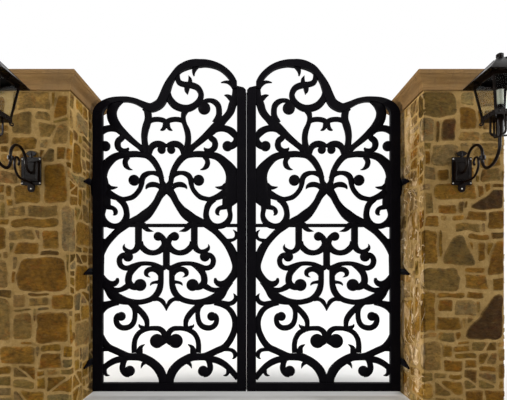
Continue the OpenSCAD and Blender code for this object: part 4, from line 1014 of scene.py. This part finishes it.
def roundedBar(stroke, face):
    # Half an oval along the stroke: across = w cos(a), out = h sin(a) ** 0.8, and h falls to almost nothing
    # at the stroke's ends
    run = smoothRun(stroke)
    run[:, 0] = np.clip(run[:, 0], *leaf["field"])
    along = np.gradient(run[:, :2], axis=0)
    along /= np.maximum(np.hypot(*along.T), 1e-6)[:, None]
    across = np.stack([-along[:, 1], along[:, 0]], -1)
    walked = np.concatenate([[0], np.cumsum(np.hypot(*np.diff(run[:, :2], axis=0).T))])
    end = np.clip(np.minimum(walked, walked[-1] - walked) / leaf["endLength"], 0, 1)
    half = np.maximum(run[:, 2] * leaf["cover"], leaf["leastHalf"])
    half = half * (leaf["endWidth"] + (1 - leaf["endWidth"]) * np.sqrt(end))
    tall = leaf["swell"] * np.sqrt(np.clip(half / leaf["usualHalf"], *leaf["heightShares"]))
    tall = tall * (leaf["endHeight"] + (1 - leaf["endHeight"]) * np.sin(end * np.pi / 2))
    a = np.linspace(np.pi, 0, 8)
    side = np.concatenate([np.cos(a), [0.9, -0.9]])
    out = np.concatenate([np.sin(a) ** leaf["oval"], [-0.4, -0.4]])
    u = run[:, 0, None] + across[:, 0, None] * half[:, None] * side
    v = run[:, 1, None] + across[:, 1, None] * half[:, None] * side
    rings = onLeaf(u, v, np.where(out > 0, out * tall[:, None], out * leaf["root"]), face)
    return loft(rings if face > 0 else rings[:, ::-1])


def boss(u, v, r, face):
    # A flattened half ball: radius r cos(a), height h sin(a), over a narrower foot that sits in the plate
    a = np.linspace(0, np.pi / 2 * 0.96, 8)[:, None]
    turn = fullTurn(32)[None, :]
    rise = min(leaf["bossRise"] * r * leaf["unit"], leaf["bossLimit"])
    wide, foot = r * leaf["bossWidth"] * np.cos(a), r * leaf["bossFoot"]
    rings = onLeaf(u + wide * np.cos(turn), v + wide * np.sin(turn), rise * np.sin(a), face)
    under = onLeaf(u + foot * np.cos(turn), v + foot * np.sin(turn), -leaf["bossSunk"], face)
    rings = np.concatenate([under, rings])
    return loft(rings[:, ::-1] if face > 0 else rings)


def mirrored(strokes):
    # The same strokes on the other side of the motif's axis; one that lies on the axis stays single
    aside = [stroke for stroke in strokes if max(abs(point[0]) for point in stroke) > 0.5]
    return strokes + [[(-u, v, w) for u, v, w in stroke] for stroke in aside]


def bothBalls(balls):
    # The same balls on both sides of the motif's axis
    return balls + [(-u, v, r) for u, v, r in balls]


reliefs = dict(
    upper=(mirrored(scrollWork["pairedUpper"]) + scrollWork["crownBars"] + scrollWork["shoulderBars"],
           bothBalls(scrollWork["pairedUpperBalls"]) + scrollWork["crownBalls"]),
    lower=(mirrored(scrollWork["pairedLower"]), bothBalls(scrollWork["pairedLowerBalls"])),
)
for side in sides:
    for level, (strokes, balls) in reliefs.items():
        parts = [roundedBar(stroke, face) for stroke in strokes for face in (-1, 1)]
        parts += [boss(*ball, face) for ball in balls for face in (-1, 1)]
        makePiece(side, f"{level}_scroll_faces", parts, f"{side}_leaf", "black_iron", crease=55)
print("scrollwork rounded:", sum(len(s) for s, _ in reliefs.values()), "bars a leaf")


edgeWidths = dict(
    hinge_stile=0.003, meeting_stile=0.003, bottom_rail=0.003, mid_rail=0.0025, top_rail=0.003,
    lantern_backplate=0.0018, pintles=0.0015, hinge_eyes=0.0015, lantern_roof=0.0015, pier_cap=0.004)
nodeFinish = dict(pier_cap="cap_stone", lantern_glass="lantern_glass", lantern_candle="lantern_candle")
for name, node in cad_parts.items():
    kind = name.split("_", 1)[1]
    if kind == "pier_shaft":
        continue
    finish = nodeFinish.get(kind, "lantern_iron" if kind.startswith("lantern") else "black_iron")
    node.data.materials.clear()
    node.data.materials.append(finishes[finish])
    if kind in edgeWidths:
        weld = node.modifiers.new("weld", "WELD")
        weld.merge_threshold = 0.00002
        ease = node.modifiers.new("ease", "BEVEL")
        ease.width = edgeWidths[kind]
        ease.segments = 2
        ease.limit_method = "ANGLE"
        ease.angle_limit = math.radians(38)
        ease.harden_normals = False
print("CAD nodes finished")


def dome(centre, normal, radius, rise, turns=20):
    # A rivet or bolt head: radius r cos(a) round the normal, height h sin(a) along it, sunk a little at its
    # foot
    normal = np.array(normal, float)
    side = np.cross(normal, [0.3, 0.5, 0.8])
    side /= np.linalg.norm(side)
    other = np.cross(normal, side)
    a = np.linspace(0, np.pi / 2 * 0.97, 7)[:, None, None]
    turn = fullTurn(turns)[None, :, None]
    ray = np.cos(turn) * side + np.sin(turn) * other
    rings = np.array(centre) + radius * np.cos(a) * ray + rise * np.sin(a) * normal
    foot = np.array(centre) + radius * ray - 0.002 * normal
    return loft(np.concatenate([foot, rings]))


def rod(path, radius, turns=12):
    # A round bar along a path: a circle in the plane square to the path at each point, of a radius that may
    # change
    path = np.array(path, float)
    radius = np.broadcast_to(radius, len(path))
    along = np.gradient(path, axis=0)
    along /= np.linalg.norm(along, axis=1)[:, None]
    lift = np.array([0, 0, 1.0]) if abs(along[0, 2]) < 0.9 else np.array([1.0, 0, 0])
    side = [np.cross(along[0], lift)]
    for step in along[1:]:
        side.append(side[-1] - step * (side[-1] @ step))
    side = np.array(side) / np.linalg.norm(side, axis=1)[:, None]
    other = np.cross(along, side)
    turn = fullTurn(turns)[None, :, None]
    ray = np.cos(turn) * side[:, None] + np.sin(turn) * other[:, None]
    return loft(path[:, None] + radius[:, None, None] * ray)


# A slim bead down each meeting stile's edge closes all but a hair of the gap; it sits at the back, where the
# leaf's swing about its pin moves it sideways the least. The stile's edge is 5 mm from the gateway's middle
bead = dict(x=gateMiddle - 0.005, y=0.103, across=0.0043, deep=0.005, foot=0.046, head=3.028)
beadZ = np.linspace(bead["foot"], bead["head"], 3)[:, None]
beadTurn = fullTurn(12)
beadX, beadY = bead["x"] + bead["across"] * np.cos(beadTurn), bead["y"] + bead["deep"] * np.sin(beadTurn)
for side in sides:
    parts = [loft(spread(beadX, beadY, beadZ))]
    makePiece(side, "meeting_bead", parts, f"{side}_leaf", "black_iron")

# Four bolt heads on each hinge plate, so far forward from its rear end, which is level with the arm's rear
# face, and so far up from its lower edge, which is a washer lower than the height given
bolts = dict(
    radius=0.0075, rise=0.0055, forward=[0.054, 0.054, 0.108, 0.162], up=[0.046, 0.016, 0.024, 0.017],
    plate=0.012, pinY=0.146, arm=0.0156, washer=0.0015, heights=[0.297, 1.202, 2.095])
for side in sides:
    x, rear = pier["half"] + bolts["plate"], bolts["pinY"] + bolts["arm"]
    spots = [(x, rear - forward, z - bolts["washer"] + up)
             for z in bolts["heights"] for forward, up in zip(bolts["forward"], bolts["up"])]
    heads = [dome(spot, (1, 0, 0), bolts["radius"], bolts["rise"]) for spot in spots]
    makePiece(side, "hinge_bolts", heads, "piers", "black_iron")

lamp = dict(
    x=0.026, wall=-pier["half"], z=2.122, reach=0.537, plateW=0.176, plateH=0.246, plateT=0.008,
    housing=(0.1373, 0.177, 0.0176), footW=0.182, bar=0.014, galleryZ=0.266, galleryH=0.038, cageH=0.238,
    roofW=0.366, roofTop=0.0528, roofH=0.160,
)


def lampPoint(across, out, up):
    # From the middle of the wall plate's back: across the wall, out from it, and up
    return spread(lamp["x"] + np.asarray(across, float), lamp["wall"] - np.asarray(out, float),
                  lamp["z"] + np.asarray(up, float))


screws = dict(radius=0.0070, rise=0.0055, insetX=0.010, insetZ=0.016, tab=0.033)


def wallScrews():
    # A screw head in each corner of the wall plate, and one in the tab below it
    w, h = lamp["plateW"] / 2 - screws["insetX"], lamp["plateH"] / 2 - screws["insetZ"]
    spots = [(x, z) for x in (-w, w) for z in (-h, h)] + [(0, -lamp["plateH"] / 2 - screws["tab"])]
    points = [lampPoint(x, lamp["plateT"], z) for x, z in spots]
    return [dome(point, (0, -1, 0), screws["radius"], screws["rise"]) for point in points]


rib = dict(steps=9, proud=0.0015, foot=-0.004, tip=0.056, radii=([0, 0.3, 1], [0.004, 0.006, 0.0008]))


def leafRib():
    # A tapering rib up the middle of the wall plate's leaf
    top = lamp["plateH"] / 2
    up = np.linspace(top + rib["foot"], top + rib["tip"], rib["steps"])
    radius = np.interp(np.linspace(0, 1, rib["steps"]), *rib["radii"])
    return [rod(lampPoint(0, lamp["plateT"] + rib["proud"], up), radius)]


# The moulding's line is inset from the housing's edge; its section is so far outwards and so far above the
# face
mould = dict(inset=0.014, section=[
    (0.0055, -0.001), (0.0055, 0.0015), (0.003, 0.0042),
    (-0.003, 0.0042), (-0.0055, 0.0015), (-0.0055, -0.001)])


def panelMould():
    # A raised half-round moulding that frames the housing's face
    w, h, t = lamp["housing"]
    top = lamp["plateT"] + t
    loops = []
    for grow, rise in mould["section"]:
        a, b = w / 2 - mould["inset"] + grow, h / 2 - mould["inset"] + grow
        loops.append(lampPoint([-a, a, a, -a], top + rise, [-b, -b, b, b]))
    rings = np.array(loops).transpose(1, 0, 2)
    m, k, _ = rings.shape
    quads = gridFaces(m + 1, k, True) % (m * k)
    return [(rings.reshape(-1, 3), [quads])]


rolls = dict(
    steps=15, turns=10, inset=0.005, eaveUp=0.005, eaveR=0.0052,
    hipUp=0.004, hipShort=0.006, hipR=0.0048)


def eaveAndHips():
    # A roll along each eave and up each hip of the roof
    half, top = lamp["roofW"] / 2 - rolls["inset"], lamp["roofTop"] / 2
    base = lamp["galleryZ"] + lamp["galleryH"] + lamp["cageH"] + lamp["bar"]
    line = np.linspace(0, 1, rolls["steps"])[:, None]
    climb = base + rolls["hipUp"] + (lamp["roofH"] - rolls["hipShort"]) * line[:, 0]
    parts = []
    for quarter in range(4):
        spin = np.linalg.matrix_power(np.array([[0, -1], [1, 0]]), quarter)
        ends = np.array([[-half, -half], [half, -half]]) @ spin.T
        eave = ends[0] + (ends[1] - ends[0]) * line
        hip = ends[0] + (ends[0] / half * top - ends[0]) * line
        for path, up, radius in ((eave, base + rolls["eaveUp"], rolls["eaveR"]), (hip, climb, rolls["hipR"])):
            parts.append(rod(lampPoint(path[:, 0], lamp["reach"] + path[:, 1], up), radius, rolls["turns"]))
    return parts


curls = dict(
    steps=26, fromTurn=-1.0, toTurn=0.95, coil=(0.0135, 0.0070), out=0.004, down=0.011,
    stem=0.012, stemSteps=4, radii=(0.0068, 0.0044), diagonal=0.7071)


def cornerCurls():
    # Under each corner of the gallery a short bar turns down, out and back up: a spiral in the upright plane
    # through the diagonal, with a shrinking radius
    turn = np.linspace(curls["fromTurn"] * np.pi, curls["toTurn"] * np.pi, curls["steps"])
    coil = np.linspace(*curls["coil"], curls["steps"])
    out = np.cos(turn) * coil - curls["out"]
    up = np.sin(turn) * coil - curls["down"]
    stem = np.linspace(1, 0, curls["stemSteps"] + 1)[:-1]
    up = np.concatenate([up[0] + stem * curls["stem"], up])
    out = np.concatenate([np.full(curls["stemSteps"], out[0]), out])
    aside = lamp["footW"] / 2 + out * curls["diagonal"]
    radius = np.linspace(*curls["radii"], len(out))
    return [rod(lampPoint(sx * aside, lamp["reach"] + sy * aside, lamp["galleryZ"] + up), radius)
            for sx in (-1, 1) for sy in (-1, 1)]


studs = dict(radius=0.0075, rise=0.005, turns=14, count=4, along=0.66, up=0.58)


def galleryStuds():
    # Small round studs along the gallery band's four sides
    half = lamp["footW"] / 2
    up = lamp["galleryZ"] + lamp["galleryH"] * studs["up"]
    parts = []
    for place in np.linspace(-half * studs["along"], half * studs["along"], studs["count"]):
        for sign in (-1, 1):
            bands = ((place, sign * half, (0, -sign, 0)), (sign * half, place, (sign, 0, 0)))
            for across, out, normal in bands:
                spot = lampPoint(across, lamp["reach"] + out, up)
                parts.append(dome(spot, normal, studs["radius"], studs["rise"], studs["turns"]))
    return parts


trims = dict(
    wall_plate_screws=([wallScrews], "screw_steel"),
    wall_plate_mouldings=([leafRib, panelMould], "lantern_iron"),
    lantern_roof_rolls=([eaveAndHips], "lantern_iron"),
    lantern_gallery_trim=([cornerCurls, galleryStuds], "lantern_iron"),
)
for side in sides:
    for kind, (builders, finish) in trims.items():
        parts = [part for build in builders for part in build()]
        makePiece(side, kind, parts, "piers", finish)
print("small ironwork made")


studio = dict(
    floorSize=80.0, floorX=2.0, floorTones=(rgb(0.79, 0.79, 0.78), rgb(0.80, 0.80, 0.79)),
    worldLight=0.34, whiteSeen=1.0, fadeFrom=3.2, fadeTo=9.0)


def paleFloor():
    # Near the gate the floor takes its shadow; further out it fades to the backdrop's white for what the
    # camera sees
    r = Recipe("paleFloor")
    spot = r.place()
    tone = r.mix(r.noise(spot, 0.6, 3.0, 0.5), *studio["floorTones"])
    matt = r.node("ShaderNodeBsdfDiffuse", None, Color=tone)
    apart = r.node("ShaderNodeVectorMath", dict(operation="SUBTRACT"), spot, (gateMiddle, 0.0, 0.0)).out(0)
    away = r.node("ShaderNodeVectorMath", dict(operation="LENGTH"), apart).out("Value")
    white = r.node("ShaderNodeEmission", None, Color=rgb(1, 1, 1), Strength=studio["whiteSeen"])
    share = away.step(studio["fadeFrom"], studio["fadeTo"]) * r.whiteRays()
    return r.close(r.node("ShaderNodeMixShader", None, share, matt.out(0), white.out(0)))


def studioSky():
    # White as the backdrop, weaker as a light: light + white rays times (white - light)
    r = Recipe("studioSky", "worlds")
    level = r.whiteRays() * (studio["whiteSeen"] - studio["worldLight"]) + studio["worldLight"]
    return r.close(r.node("ShaderNodeBackground", None, Color=rgb(1, 1, 1), Strength=level))


reach, shift = studio["floorSize"] / 2, studio["floorX"]
floorCorners = [(-reach + shift, -reach, 0), (reach + shift, -reach, 0), (reach + shift, reach, 0),
                (-reach + shift, reach, 0)]
floorMesh = bpy.data.meshes.new("floor")
floorMesh.from_pydata(floorCorners, [], [(0, 1, 2, 3)])
floorMesh.materials.append(paleFloor())
floor = bpy.data.objects.new("floor", floorMesh)
bpy.context.scene.collection.objects.link(floor)

bpy.context.scene.world = studioSky()


def softLamp(name, spot, size, power, tint=(1, 1, 1), soft=True, glint=False):
    # A square lamp turned from its spot towards the middle of the gate: tipped by atan2 of the way's length
    # on the ground and its drop, and turned to the way's own heading. A soft one lights the surfaces, a glint
    # one is mirrored in gloss
    data = bpy.data.lights.new(name, "AREA")
    data.shape, data.size, data.energy, data.color = "SQUARE", size, power, tint
    light = bpy.data.objects.new(name, data)
    bpy.context.scene.collection.objects.link(light)
    light.location = spot
    x, y, z = np.array([gateMiddle, 0, 1.2]) - np.array(spot)
    light.rotation_euler = (math.atan2(math.hypot(x, y), -z), 0, math.atan2(y, x) - math.pi / 2)
    light.visible_diffuse, light.visible_glossy = soft, glint


softLamp("fromLeft", (-16.0, -3.2, 5.2), 5.0, 5400, (1.0, 0.97, 0.92), glint=True)
softLamp("fromRight", (19.0, -3.8, 5.6), 6.0, 3950, (0.98, 0.98, 1.0), glint=True)
softLamp("glintLeft", (-5.5, -9.0, 6.5), 0.8, 820, soft=False, glint=True)
softLamp("glintRight", (10.0, -8.0, 7.5), 0.8, 820, soft=False, glint=True)
softLamp("fromBehind", (5.0, 13.0, 10.0), 7.0, 1500)

# The photo is 507 pixels wide, its focal length is 400 of them, and its middle is 7 and 70 off the camera's
# axis
view = dict(location=(1.9325, -3.915, 1.247), wide=507, focal=400, shiftX=7, shiftY=70, sensor=36)
cameraData = bpy.data.cameras.new("camera")
cameraData.sensor_width = view["sensor"]
cameraData.lens = view["focal"] / view["wide"] * view["sensor"]
cameraData.shift_x = view["shiftX"] / view["wide"]
cameraData.shift_y = view["shiftY"] / view["wide"]
camera = bpy.data.objects.new("camera", cameraData)
camera.location = view["location"]
camera.rotation_euler = (math.pi / 2, 0, 0)
bpy.context.scene.collection.objects.link(camera)
bpy.context.scene.camera = camera

bpy.context.scene.view_settings.view_transform = "Standard"
